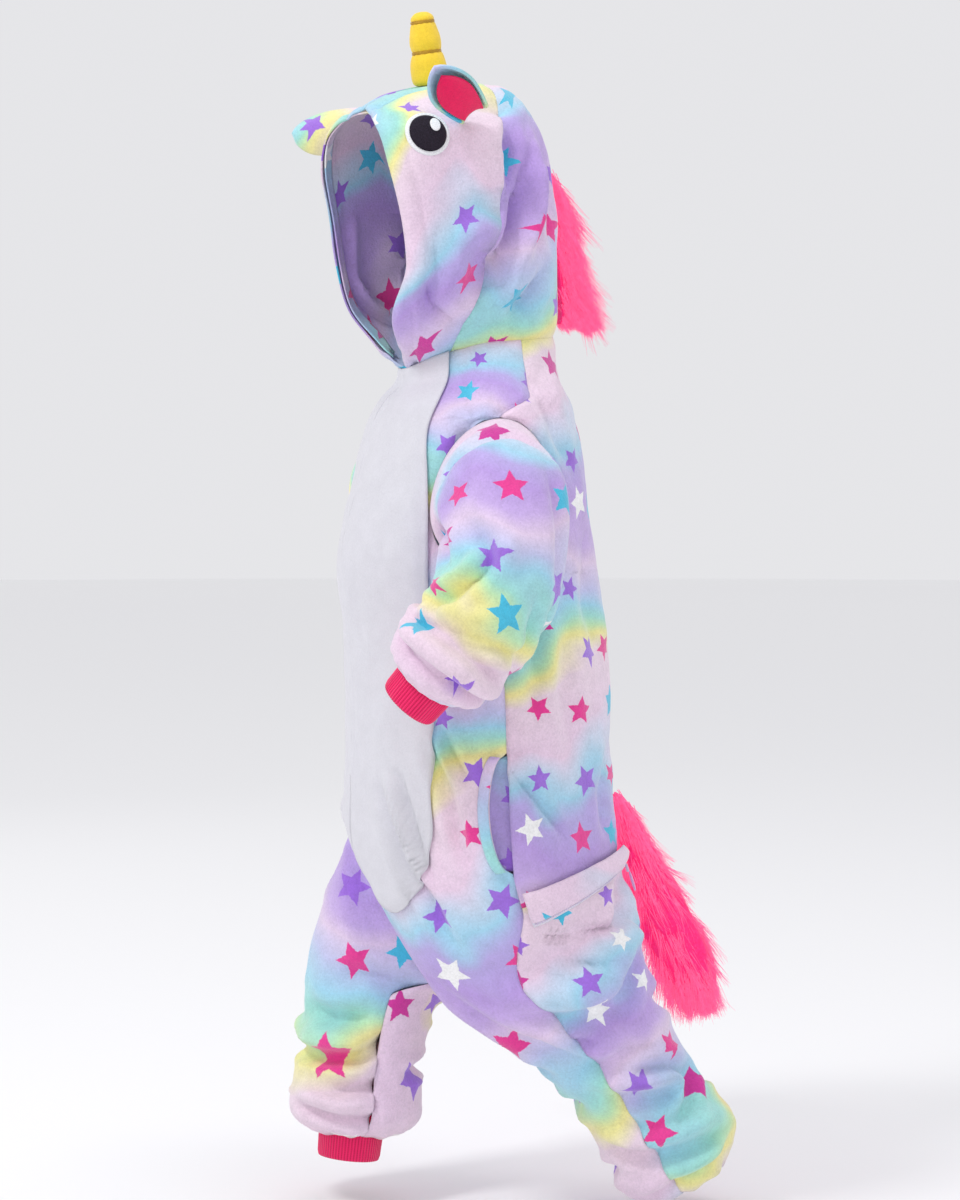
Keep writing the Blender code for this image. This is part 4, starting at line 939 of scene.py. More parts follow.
@dataclass(frozen=True)
class PrintedPlush:
    """Coral fleece: knitted polyester with a brushed pile, printed with clouds of pastel and with stars.

    The pile scatters light all round, so it has no gloss, and its edges look paler than its middle.
    """

    repeat: float = 360.0                # how far down the cloth the clouds come again, in millimetres
    star_gap: float = 70.0               # how far apart the stars are
    star_radius: float = 17.0
    star_waist: float = 0.47             # the inner corners' radius, as a share of the points'
    star_edge: float = 1.5               # how wide the star's edge blurs in the pile
    uv_name: str = "print"
    clouds: tuple[tuple[float, str], ...] = (
        (0.0, "#F8F0A4"), (0.03, "#F6EBC6"), (0.07, "#F2DCEA"), (0.26, "#F0D6EC"), (0.33, "#D2DFF4"),
        (0.39, "#A8DAF2"), (0.45, "#BFB0EA"), (0.53, "#C0A2E6"), (0.62, "#CDB2EA"), (0.70, "#E8D2EE"),
        (0.79, "#C9CDF2"), (0.86, "#A6DCF2"), (0.92, "#A8E6DA"), (0.955, "#C8EFBC"), (0.985, "#F2F0A4"),
        (1.0, "#F8F0A4"))
    stars: tuple[tuple[float, str], ...] = (
        (0.0, "#A472E2"), (0.30, "#F2409B"), (0.52, "#4CC6E8"), (0.70, "#FFFFFF"), (0.86, "#D93AA0"))

    def material(self) -> bpy.types.Material:
        """Return the printed plush."""
        material, shader = new_material("printed_coral_fleece", {
            "Roughness": 0.92, "Specular IOR Level": 0.12, "Sheen Weight": 0.45, "Sheen Roughness": 0.55})
        tree = material.node_tree
        where = add_node(tree, "ShaderNodeUVMap", {"uv_map": self.uv_name}).outputs["UV"]
        stray = add_node(tree, "ShaderNodeTexNoise", {"noise_dimensions": "2D"}, {
            "Vector": where, "Scale": 1 / (2.6 * MM), "Detail": 2.0})
        strayed = add_node(tree, "ShaderNodeVectorMath", {"operation": "MULTIPLY_ADD"}, {
            0: stray.outputs["Color"], 1: (1.8 * MM, 1.8 * MM, 0), 2: where})
        cloud = self.cloud_colour(tree, where)
        mask, star = self.star_mask(tree, strayed.outputs[0])
        colour = add_node(tree, "ShaderNodeMix", {"data_type": "RGBA"}, {0: mask, 6: cloud, 7: star})
        Pile(2.4, 1.5, 13.0, 0.20).dress(tree, shader, colour.outputs[2])
        return material

    def cloud_colour(self, tree: bpy.types.NodeTree, where: bpy.types.NodeSocket) -> bpy.types.NodeSocket:
        """Return the socket with the clouds of pastel.

        Args:
            tree: The material's node tree.
            where: The print's coordinates, in metres.

        Returns:
            The colour.
        """
        parts = add_node(tree, "ShaderNodeSeparateXYZ", {}, {0: where})
        drift = add_node(tree, "ShaderNodeTexNoise", {"noise_dimensions": "2D"}, {
            "Vector": where, "Scale": 6.5, "Detail": 2.5, "Roughness": 0.45})
        values = {"v": parts.outputs["Y"], "u": parts.outputs["X"], "drift": drift.outputs["Fac"]}
        reckon(tree, values, (
            ("down", "MULTIPLY", "v", -1 / (self.repeat * MM), 0.0),
            ("slant", "MULTIPLY_ADD", "u", 0.5, "down"),
            ("wander", "MULTIPLY_ADD", "drift", 0.46, "slant"),
            ("centred", "SUBTRACT", "wander", 0.23, 0.0),
            ("share", "FRACT", "centred", 0.0, 0.0)))
        ramp = add_node(tree, "ShaderNodeValToRGB", {}, {0: values["share"]})
        set_ramp(ramp.color_ramp, self.clouds)
        return ramp.outputs["Color"]

    def star_mask(self, tree: bpy.types.NodeTree, where: bpy.types.NodeSocket
                  ) -> tuple[bpy.types.NodeSocket, bpy.types.NodeSocket]:
        """Return where the stars are, and their colours: one star in each cell, turned by chance.

        Args:
            tree: The material's node tree.
            where: The print's coordinates, in metres.

        Returns:
            The mask and the colour.
        """
        cells = add_node(tree, "ShaderNodeTexVoronoi", {"voronoi_dimensions": "2D"}, {
            "Vector": where, "Scale": 1 / (self.star_gap * MM), "Randomness": 0.55})
        away = add_node(tree, "ShaderNodeVectorMath", {"operation": "SUBTRACT"}, {
            0: where, 1: cells.outputs["Position"]})
        offset = add_node(tree, "ShaderNodeSeparateXYZ", {}, {0: away.outputs[0]})
        length = add_node(tree, "ShaderNodeVectorMath", {"operation": "LENGTH"}, {0: away.outputs[0]})
        chance = add_node(tree, "ShaderNodeSeparateColor", {}, {0: cells.outputs["Color"]})
        corner = math.pi / 5
        slope = (1 - self.star_waist * math.cos(corner)) / (self.star_waist * math.sin(corner))
        values = {"x": offset.outputs["X"], "y": offset.outputs["Y"], "length": length.outputs["Value"],
                  "turn": chance.outputs[0], "size": chance.outputs[2]}
        reckon(tree, values, (
            ("around", "ARCTAN2", "y", "x", 0.0),
            ("turned", "MULTIPLY_ADD", "turn", 2 * math.pi, "around"),
            ("arm", "PINGPONG", "turned", corner, 0.0),
            ("cosine", "COSINE", "arm", 0.0, 0.0),
            ("sine", "SINE", "arm", 0.0, 0.0),
            ("edge", "MULTIPLY_ADD", "sine", slope, "cosine"),
            ("reach", "MULTIPLY", "edge", "length", 0.0),
            ("radius", "MULTIPLY_ADD", "size", 0.35 * self.star_radius * MM, 0.83 * self.star_radius * MM),
            ("inside", "SUBTRACT", "radius", "reach", 0.0),
            ("mask", "MULTIPLY_ADD", "inside", 1 / (self.star_edge * MM), 0.5)))
        ramp = add_node(tree, "ShaderNodeValToRGB", {}, {0: chance.outputs[1]})
        set_ramp(ramp.color_ramp, self.stars, "CONSTANT")
        return values["mask"], ramp.outputs["Color"]


@dataclass(frozen=True)
class PlainPlush:
    """A plush of one colour; its pile keeps it matt and a little uneven."""

    name: str
    colour: str
    pile: Pile
    sheen: float = 0.4

    def material(self) -> bpy.types.Material:
        """Return the plush."""
        material, shader = new_material(self.name, {
            "Roughness": 0.92, "Specular IOR Level": 0.12, "Sheen Weight": self.sheen,
            "Sheen Roughness": 0.55})
        self.pile.dress(material.node_tree, shader, linear(self.colour))
        return material


@dataclass(frozen=True)
class RibKnit:
    """Cotton rib knit: soft ribs along the cuff, each rib a column of small stitches, with painted shade
    darkening the valleys between ribs.
    """

    colour: str
    # the darker colour painted into the valleys between ribs: painted shade
    valley: str
    rib: float                           # from rib to rib, in millimetres; drawn coarse so that it shows
    stitch: float

    def material(self) -> bpy.types.Material:
        """Return the rib knit."""
        material, shader = new_material("cotton_rib_knit", {
            "Roughness": 0.85, "Specular IOR Level": 0.2, "Sheen Weight": 0.2, "Sheen Roughness": 0.5})
        tree = material.node_tree
        where = add_node(tree, "ShaderNodeUVMap", {"uv_map": "print"}).outputs["UV"]
        parts = add_node(tree, "ShaderNodeSeparateXYZ", {}, {0: where})
        values = {"u": parts.outputs["X"], "v": parts.outputs["Y"]}
        reckon(tree, values, (
            ("across", "MULTIPLY", "u", 2 * math.pi / (self.rib * MM), 0.0),
            ("wave", "SINE", "across", 0.0, 0.0),
            ("rib", "MULTIPLY_ADD", "wave", 0.42, 0.5),
            ("down", "MULTIPLY", "v", 2 * math.pi / (self.stitch * MM), 0.0),
            ("loops", "SINE", "down", 0.0, 0.0),
            ("height", "MULTIPLY_ADD", "loops", 0.09, "rib")))
        # The colour falls to painted shade where the ribs' height is low, in the valleys.
        ramp = add_node(tree, "ShaderNodeValToRGB", {}, {0: values["height"]})
        set_ramp(ramp.color_ramp, ((0.0, self.valley), (0.6, self.colour)))
        tree.links.new(ramp.outputs["Color"], shader.inputs["Base Color"])
        bump = add_node(tree, "ShaderNodeBump", {}, {
            "Strength": 1.0, "Distance": 0.8 * MM, "Height": values["height"]})
        tree.links.new(bump.outputs["Normal"], shader.inputs["Normal"])
        return material


@dataclass(frozen=True)
class Speckled:
    """A plain finish with a fine grain: felt, thread, fur fibre, woven tape or moulded plastic; where it is
    given a painted glow, it gives off light though it is no lamp.
    """

    name: str
    colour: str
    shade: str                           # the darker colour that the grain falls to
    grain: float                         # how wide the grain is, in millimetres
    bump: float                          # how high it is, in millimetres
    roughness: float
    specular: float = 0.3
    sheen: float = 0.0
    metallic: float = 0.0
    stretch: tuple[float, float, float] = (1.0, 1.0, 1.0)
    painted_glow: float = 0.0                    # painted glow: how strongly the finish gives off light of its own colour, to lift the fibres out of the shade they cast on each other

    def material(self) -> bpy.types.Material:
        """Return the finish."""
        # The emission set here is the painted glow, not a lamp.
        material, shader = new_material(self.name, {
            "Roughness": self.roughness, "Specular IOR Level": self.specular, "Metallic": self.metallic,
            "Sheen Weight": self.sheen, "Sheen Roughness": 0.5,
            "Emission Color": linear(self.colour), "Emission Strength": self.painted_glow})
        tree = material.node_tree
        where = add_node(tree, "ShaderNodeTexCoord").outputs["Object"]
        drawn = add_node(tree, "ShaderNodeMapping", {}, {"Vector": where, "Scale": self.stretch})
        grain = add_node(tree, "ShaderNodeTexNoise", {}, {
            "Vector": drawn.outputs[0], "Scale": 1 / (self.grain * MM), "Detail": 3.0, "Roughness": 0.6})
        ramp = add_node(tree, "ShaderNodeValToRGB", {}, {0: grain.outputs["Fac"]})
        set_ramp(ramp.color_ramp, ((0.32, self.shade), (0.62, self.colour)))
        tree.links.new(ramp.outputs["Color"], shader.inputs["Base Color"])
        bump = add_node(tree, "ShaderNodeBump", {}, {
            "Strength": 0.8, "Distance": self.bump * MM, "Height": grain.outputs["Fac"]})
        tree.links.new(bump.outputs["Normal"], shader.inputs["Normal"])
        return material


class Finishes:
    """Every finish of the onesie, made once."""

    def __init__(self) -> None:
        """Make the materials."""
        self.printed = PrintedPlush().material()
        self.white = PlainPlush("white_short_plush", "#DBDAE1", Pile(1.7, 0.7, 16.0, 0.10), 0.3).material()
        self.lining = PlainPlush("ear_lining_plush", "#F5185F", Pile(1.7, 0.8, 10.0, 0.22), 0.25).material()
        self.horn = PlainPlush("yellow_horn_plush", "#FFD840", Pile(1.6, 0.7, 9.0, 0.18), 0.25).material()
        # The rib's second colour is the painted shade in its valleys.
        self.rib = RibKnit("#FF2C70", "#D3164F", RIB_PITCH, 1.9).material()
        self.felt_white = Speckled("white_wool_felt", "#FBFBFD", "#E4E4EA", 1.2, 0.25, 0.9, 0.15,
                                   0.3).material()
        self.felt_black = Speckled("black_wool_felt", "#2A2230", "#17121C", 1.2, 0.3, 0.9, 0.15,
                                   0.15).material()
        self.thread = Speckled("gold_thread", "#D9A92E", "#8A5F12", 0.7, 0.3, 0.45, 0.5, 0.1, 0.35,
                               (1, 1, 3)).material()
        self.seam_thread = Speckled("polyester_seam_thread", "#E6D3EC", "#BFA6D2", 0.5, 0.1, 0.5,
                                    0.4).material()
        # The fur fibres and their backing carry a painted glow that brightens them where they shade each
        # other.
        self.fur = Speckled("long_pile_fur_fibre", "#FF74AC", "#FF4E92", 6.0, 0.0, 0.6, 0.25, 0.3,
                            painted_glow=0.3).material()
        self.fur_root = Speckled("long_pile_fur_backing", "#FF3480", "#F01E66", 3.0, 1.2, 0.9, 0.1, 0.2,
                                 painted_glow=0.3).material()
        self.tape = Speckled("woven_polyester_tape", "#F1EDF5", "#CFC8DA", 0.8, 0.25, 0.8, 0.2,
                             0.1, 0.0, (1, 1, 2.5)).material()
        self.plastic = Speckled("moulded_acetal", "#DCCDE8", "#D2C2E0", 3.0, 0.02, 0.32, 0.5).material()
        self.pull = Speckled("moulded_pull_ring", "#E7B5DF", "#DBA4D4", 3.0, 0.02, 0.3, 0.5).material()


# ---------------------------------------------------------------- making a cloth a mesh
def cloth_mesh(cloth: Cloth, coords: np.ndarray, turn_over: bool = False,
               closed: bool = False) -> bmesh.types.BMesh:
    """Make a cloth a mesh with the print's coordinates.

    Args:
        cloth: The cloth.
        coords: Two print coordinates for each point, in metres.
        turn_over: Whether its faces are turned to point out.
        closed: Whether doubled points are joined.

    Returns:
        The mesh.
    """
    rows, columns = cloth.across.shape
    bm = bmesh.new()
    bmesh.ops.create_grid(bm, x_segments=columns - 1, y_segments=rows - 1, size=0.5)
    layer = bm.loops.layers.uv.new("print")
    cells = {vert: (round((vert.co.y + 0.5) * (rows - 1)), round((vert.co.x + 0.5) * (columns - 1)))
             for vert in bm.verts}
    for face in bm.faces:
        for loop in face.loops:
            loop[layer].uv = coords[cells[loop.vert]]
    for vert, cell in cells.items():
        vert.co = cloth.points[cell]
    if turn_over:
        bmesh.ops.reverse_faces(bm, faces=bm.faces)
    if closed:
        bmesh.ops.remove_doubles(bm, verts=bm.verts, dist=0.02 * MM)
    return bm


def raised(cloth: Cloth, relief: np.ndarray, turn_over: bool = False, closed: bool = False) -> Cloth:
    """Return a cloth whose points are moved along its outward direction, by millimetres."""
    moved = cloth.points + cloth.normals(turn_over, closed) * relief[..., None] * MM
    return Cloth(moved, cloth.across, cloth.along)


def finished(name: str, bm: bmesh.types.BMesh, material: bpy.types.Material | None) -> bpy.types.Object:
    """Return a mesh as a smooth object with its material."""
    mesh = bpy.data.meshes.new(name)
    bm.to_mesh(mesh)
    bm.free()
    mesh.shade_smooth()
    if material:
        mesh.materials.append(material)
    piece = bpy.data.objects.new(name, mesh)
    bpy.context.scene.collection.objects.link(piece)
    return piece


def thicken(piece: bpy.types.Object, wall: float, layer: Layer) -> bpy.types.Object:
    """Give a cloth its wall, in millimetres."""
    solid = piece.modifiers.new("wall", "SOLIDIFY")
    solid.thickness, solid.offset = wall * MM, layer.value
    return piece


def present(piece: bpy.types.Object, nodes: Sequence[str], slot: str) -> bpy.types.Object:
    """Put a piece on the garment, in place of its plain solids.

    Args:
        piece: The piece.
        nodes: The nodes that it stands for.
        slot: Not used.

    Returns:
        The piece.
    """
    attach(piece, BODY)
    if nodes:
        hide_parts(*nodes)
    LOG.info("%s: %d faces before its modifiers", piece.name, len(piece.data.polygons))
    return piece


def declare(cut: tuple[float, float, float]) -> None:
    """Take what a cloth was cut to, its width, length and area; only the width is rounded, and nothing is
    kept.
    """
    width, length, area = cut
    round(max(width, LEAST_CUT), 4)


def sewn(name: str, node: str, bm: bmesh.types.BMesh, material: bpy.types.Material, wall: tuple[float, Layer],
         slot: str, cut: tuple[float, float, float]) -> bpy.types.Object:
    """Finish one cloth of the garment, give it its wall and put it in place of its plain solid.

    Args:
        name: The piece's name.
        node: The node that it stands for.
        bm: Its mesh.
        material: Its finish.
        wall: Its thickness in millimetres and the way that it grows.
        slot: A slot name, passed on to present.
        cut: The width, length and area that it was cut to, in metres.

    Returns:
        The piece.
    """
    piece = thicken(finished(name, bm, material), *wall)
    present(piece, [node], slot)
    declare(cut)
    return piece


def stitches(name: str, points: Sequence[Vector], length: float, gap: float, radius: float,
             material: bpy.types.Material) -> bpy.types.Object:
    """Sew a row of stitches along a path.

    Args:
        name: The piece's name.
        points: The path, in metres.
        length: How long a stitch is, in millimetres.
        gap: How far apart two stitches are, in millimetres.
        radius: The thread's radius, in millimetres.
        material: The thread.

    Returns:
        All the stitches as one object.
    """
    runs = np.concatenate([[0.0], np.cumsum([(b - a).length for a, b in zip(points, points[1:])])])
    table = np.array([tuple(point) for point in points])

    def at(distance: float) -> Vector:
        """Return the point at a distance along the path."""
        return Vector([float(np.interp(distance, runs, table[:, k])) for k in range(3)])

    bm = bmesh.new()
    distance = gap * MM
    while distance + length * MM < runs[-1]:
        start, end = at(distance), at(distance + length * MM)
        turn = (end - start).to_track_quat("Z", "Y").to_matrix().to_4x4()
        shape = Matrix.Diagonal((1, 1, length / (2 * radius), 1))
        matrix = Matrix.Translation((start + end) / 2) @ turn @ shape
        bmesh.ops.create_icosphere(bm, subdivisions=1, radius=radius * MM, matrix=matrix)
        distance += (length + gap) * MM
    return finished(name, bm, material)


# ---------------------------------------------------------------- torso, legs, belly and pockets
@dataclass
class BodyPieces:
    """The panels of the torso and the legs, the white belly, the placket and the pockets."""

    body: WalkingBody
    finishes: Finishes
    belly_lift: float = 2.5
    belly_wall: float = 1.5
    placket_half: float = 11.0
    placket_bottom: float = -430.0
    placket_lift: float = 5.2
    placket_wall: float = 1.4
    bag_depth: float = 3.0
    bag_sag: float = 8.0

    def relief(self, side: Side, cloth: Cloth) -> np.ndarray:
        """Return the folds and the billow of the body's cloth, in millimetres."""
        folds = LEFT_BODY_FOLDS if side is Side.LEFT else RIGHT_BODY_FOLDS
        seed = 3.0 if side is Side.LEFT else 17.0
        swell = (billow(cloth.across, cloth.along, 3.4, 70.0, seed)
                 + billow(cloth.across, cloth.along, 1.3, 26.0, seed + 5))
        settled = 1 - np.exp(-np.clip(NECK - cloth.along, 0, None) / 30)
        gathers = np.exp(-np.clip(cloth.along - HEM, 0, None) / 13) * 1.3 * np.sin(cloth.across / 4.6)
        creases = sum(fold.relief(cloth.across, cloth.along, self.body.chart) for fold in folds)
        return softened(creases) + swell * settled + gathers

    def panel(self, name: str, side: Side, top: float, bottom: float,
              edges: Callable[[float], tuple[float, float]], columns: int, seams: str,
              shift: tuple[float, float]) -> bpy.types.Object:
        """Sew a panel of the body.

        Args:
            name: The node that it stands for.
            side: The wearer's side.
            top: The height of its top edge.
            bottom: The height of its bottom edge.
            edges: Gives its two side edges at a height, as angles.
            columns: How many cells it has across.
            seams: Which of its edges are sewn.
            shift: How far the print is moved on it, in metres.

        Returns:
            The panel.
        """
        def place(u: float, v: float) -> Place:
            """Return a point of the panel."""
            height = bottom + (top - bottom) * v
            first, last = edges(height)
            return self.body.place(side, first + (last - first) * u, round(height, 4))

        cloth = Cloth.laid(columns, round((top - bottom) / CELL), place)
        over = side is Side.RIGHT
        coords = spread(cloth, 0.5, top * MM) + np.array(shift)
        shaped = raised(cloth, self.relief(side, cloth) + cloth.pinched(seams), over)
        return sewn(f"{name}_cloth", name, cloth_mesh(shaped, coords, over), self.finishes.printed,
                    (PLUSH_WALL, Layer.OUTER_FACE), "plush_print", cloth.cut())

    def belly(self, side: Side) -> bpy.types.Object:
        """Sew half of the white belly on the front."""
        def place(u: float, v: float) -> Place:
            """Return a point of the half belly."""
            height = BELLY_BOTTOM + 0.6 + (BELLY_TOP - BELLY_BOTTOM - 0.6) * v
            first, last = self.body.belly_edges(height)
            return self.body.place(side, first + (last - first) * u, round(height, 4))

        cloth = Cloth.laid(30, round((BELLY_TOP - BELLY_BOTTOM) / CELL), place)
        over = side is Side.RIGHT
        u, v = cloth.runs()
        near = np.minimum(u[:, -1:] - u, v) / MM
        puff = 2.2 * (1 - np.exp(-((near / 10) ** 2)))
        shaped = raised(cloth, self.relief(side, cloth) + self.belly_lift + puff - 0.6, over)
        return sewn(f"belly_{side.word}_cloth", f"belly_{side.word}",
                    cloth_mesh(shaped, arc_shares(cloth, 0.0, 0.0), over), self.finishes.white,
                    (self.belly_wall, Layer.LAID_ON), "white_fleece", cloth.cut())

    def placket(self) -> bpy.types.Object:
        """Sew the plain closed placket over the hidden snaps."""
        def place(u: float, v: float) -> Place:
            """Return a point of the placket, measured from the middle."""
            height = self.placket_bottom + (BELLY_TOP - self.placket_bottom) * v
            across = (2 * u - 1) * self.placket_half
            side = Side.RIGHT if across < 0 else Side.LEFT
            angle = math.degrees(abs(across) / body_ring(round(height, 4)).half_width)
            return self.body.surface(side, angle, round(height, 4)), across, height

        cloth = Cloth.laid(8, 96, place)
        sides = [Cloth(cloth.points, np.abs(cloth.across), cloth.along)] * 2
        left, right = (self.relief(side, part) for side, part in zip(Side, sides))
        share = 1 / (1 + np.exp(-cloth.across / 3))
        relief = left * share + right * (1 - share) + self.placket_lift - 0.6
        shaped = raised(cloth, relief + cloth.pinched("lrb", 1.2, 2.5))
        return sewn("front_placket_cloth", "front_placket", cloth_mesh(shaped, arc_shares(cloth, 0.5, 0.0)),
                    self.finishes.white, (self.placket_wall, Layer.LAID_ON), "white_fleece", cloth.cut())

    def pocket(self, side: Side) -> None:
        """Sew the side-seam pocket: the bag behind its open mouth, and the welt on the mouth's front edge."""
        over = side is Side.RIGHT

        def bag(u: float, v: float) -> Place:
            """Return a point of the bag's mouth side."""
            height = POCKET_BOTTOM + (POCKET_TOP - POCKET_BOTTOM) * v
            angle = SIDE_SEAM - 4 - POCKET_ANGLE + (POCKET_ANGLE + 8) * u
            return self.body.place(side, angle, round(height, 4))

        cloth = Cloth.laid(12, 28, bag)
        u = np.linspace(0, 1, 13)[None, :]
        heights = np.linspace(POCKET_BOTTOM, POCKET_TOP, 29)
        reach = np.array([oval(h, POCKET_TOP + 2, POCKET_BOTTOM - 2) for h in heights])[:, None]
        depth = self.bag_depth + self.bag_sag * np.sin(math.pi * u) * reach
        shaped = raised(cloth, -depth - 1.5 + 1.2 * billow(cloth.across, cloth.along, 1.0, 16.0, 41.0), over)
        coords = arc_shares(cloth, 0.5, POCKET_TOP * MM) + np.array((0.21, 0.30))
        sewn(f"pocket_bag_{side.word}_cloth", f"pocket_bag_{side.word}", cloth_mesh(shaped, coords, over),
             self.finishes.printed, (1.5, Layer.OUTER_FACE), "plush_print", cloth.cut())

        def welt(u: float, v: float) -> Place:
            """Return a point of the welt."""
            height = POCKET_BOTTOM + 4 + (POCKET_TOP - POCKET_BOTTOM - 8) * v
            angle = self.body.front_edges(height)[1] - 4.2 + 3.8 * u
            return self.body.place(side, angle, round(height, 4))

        cloth = Cloth.laid(6, 30, welt)
        across = np.linspace(0, 1, 7)[None, :]
        round_over = 2.4 * np.sin(math.pi * np.clip(across, 0.05, 0.95)) ** 0.7
        shaped = raised(cloth, self.relief(side, cloth) + round_over - 1.0, over)
        coords = arc_shares(cloth, 0.5, POCKET_TOP * MM) + np.array((0.0, 0.16))
        sewn(f"pocket_welt_{side.word}_cloth", f"pocket_welt_{side.word}", cloth_mesh(shaped, coords, over),
             self.finishes.printed, (2.0, Layer.LAID_ON), "plush_print", cloth.cut())

    def build(self) -> None:
        """Sew all of the body's pieces."""
        prints = {
            "front_left": (0.02, 0.16), "front_right": (0.27, 0.43), "back_left": (0.11, 0.0),
            "back_right": (0.33, 0.05), "seat_left": (0.05, 0.50), "seat_right": (0.41, 0.47),
        }
        for side in Side:
            word = side.word
            self.panel(f"front_{word}", side, NECK, HEM, self.body.front_edges, 62, "lrt",
                       prints[f"front_{word}"])
            self.panel(f"back_{word}", side, NECK, SEAT_SEAM + EDGE, self.body.back_edges, 56, "lrbt",
                       prints[f"back_{word}"])
            self.panel(f"seat_{word}", side, SEAT_SEAM - EDGE, HEM, self.body.back_edges, 56, "lrt",
                       prints[f"seat_{word}"])
            self.belly(side)
            self.pocket(side)
        self.placket()


# ---------------------------------------------------------------- the drop seat
@dataclass
class DropSeat:
    """The welt over the drop seat's zip, the zip's tape and teeth, its slider and its pull."""

    body: WalkingBody
    finishes: Finishes
    pieces: BodyPieces
    nodes: dict[str, bpy.types.Object]
    welt_low: float = -14.0
    welt_high: float = 14.0
    welt_lift: float = 6.0
    tape_low: float = -19.0
    tape_high: float = -4.0
    tape_lift: float = 3.2
    tooth_pitch: float = 2.6

    def across(self, low: float, high: float, columns: int, rows: int) -> tuple[Cloth, np.ndarray]:
        """Lay a strip across the back, between two heights from the seat's seam, with the body's relief."""
        reach = 180 - (SIDE_SEAM + 1.5)
        spots = []

        def place(u: float, v: float) -> Place:
            """Return a point of the strip."""
            over = 2 * u - 1
            side, angle = (Side.LEFT if over < 0 else Side.RIGHT), 180 - reach * abs(over)
            height = SEAT_SEAM + low + (high - low) * v
            spots.append((side, angle, height))
            return self.body.surface(side, angle, round(height, 4)), over * reach, height

        cloth = Cloth.laid(columns, rows, place)
        charts = np.array([self.body.chart(angle, height) for _, angle, height in spots])
        shape = cloth.across.shape
        chart = Cloth(cloth.points, charts[:, 0].reshape(shape), charts[:, 1].reshape(shape))
        left, right = (self.pieces.relief(side, chart) for side in Side)
        share = 1 / (1 + np.exp(cloth.across / 4))
        return cloth, left * share + right * (1 - share)

    def build(self) -> None:
        """Sew the drop seat's pieces."""
        welt, relief = self.across(self.welt_low, self.welt_high, 110, 12)
        puff = 4.6 * np.sin(math.pi * np.linspace(0.04, 0.96, 13))[:, None] ** 0.6
        wave = 1.2 * np.sin(welt.across / 7.5) * np.sin(math.pi * np.linspace(0.0, 1.0, 13))[:, None]
        shaped = raised(welt, relief + self.welt_lift - 2.6 + puff + wave)
        coords = arc_shares(welt, 0.5, 0.0) + np.array((0.13, 0.27))
        sewn("seat_welt_cloth", "seat_welt", cloth_mesh(shaped, coords), self.finishes.printed,
             (2.2, Layer.LAID_ON), "plush_print", welt.cut())
        tape, relief = self.across(self.tape_low, self.tape_high, 110, 4)
        shaped = raised(tape, relief + self.tape_lift)
        sewn("seat_zip_tape", "seat_zip", cloth_mesh(shaped, arc_shares(tape, 0.5, 0.0)),
             self.finishes.tape, (1.1, Layer.LAID_ON), "zip_tape", tape.cut())
        self.teeth()
        for name, material in (("zip_slider", self.finishes.plastic), ("zip_pull", self.finishes.pull)):
            node = self.nodes[name]
            node.data.materials.clear()
            node.data.materials.append(material)

    def teeth(self) -> None:
        """Set the zip's teeth along its tape."""
        line, relief = self.across(self.tape_low + 1.6, self.tape_low + 3.6, 300, 1)
        lifted = raised(line, relief + self.tape_lift + 1.5).points
        spine = lifted.mean(axis=0)
        runs = np.concatenate([[0.0], np.cumsum(np.linalg.norm(np.diff(spine, axis=0), axis=1))])
        bm = bmesh.new()
        count = int(runs[-1] / (self.tooth_pitch * MM))
        for k in range(1, count):
            distance = k * self.tooth_pitch * MM
            point = Vector([float(np.interp(distance, runs, spine[:, c])) for c in range(3)])
            i = min(int(np.searchsorted(runs, distance)), len(runs) - 2)
            along = Vector(spine[i + 1] - spine[i - 1]).normalized()
            up = Vector(lifted[1, i] - lifted[0, i]).normalized()
            out = along.cross(up).normalized()
            turn = Matrix((along, out.cross(along), out)).transposed().to_4x4()
            made = bmesh.ops.create_cube(bm, size=1.0, matrix=Matrix.Translation(point) @ turn
                                         @ Matrix.Diagonal((1.4 * MM, 2.2 * MM, 1.1 * MM, 1)))
            edges = list({edge for vert in made["verts"] for edge in vert.link_edges})
            bmesh.ops.bevel(bm, geom=edges, offset=0.25 * MM, segments=1, profile=0.5, affect="EDGES",
                            material=-1)
        present(finished("seat_zip_teeth", bm, self.finishes.plastic), [], "zip_plastic")


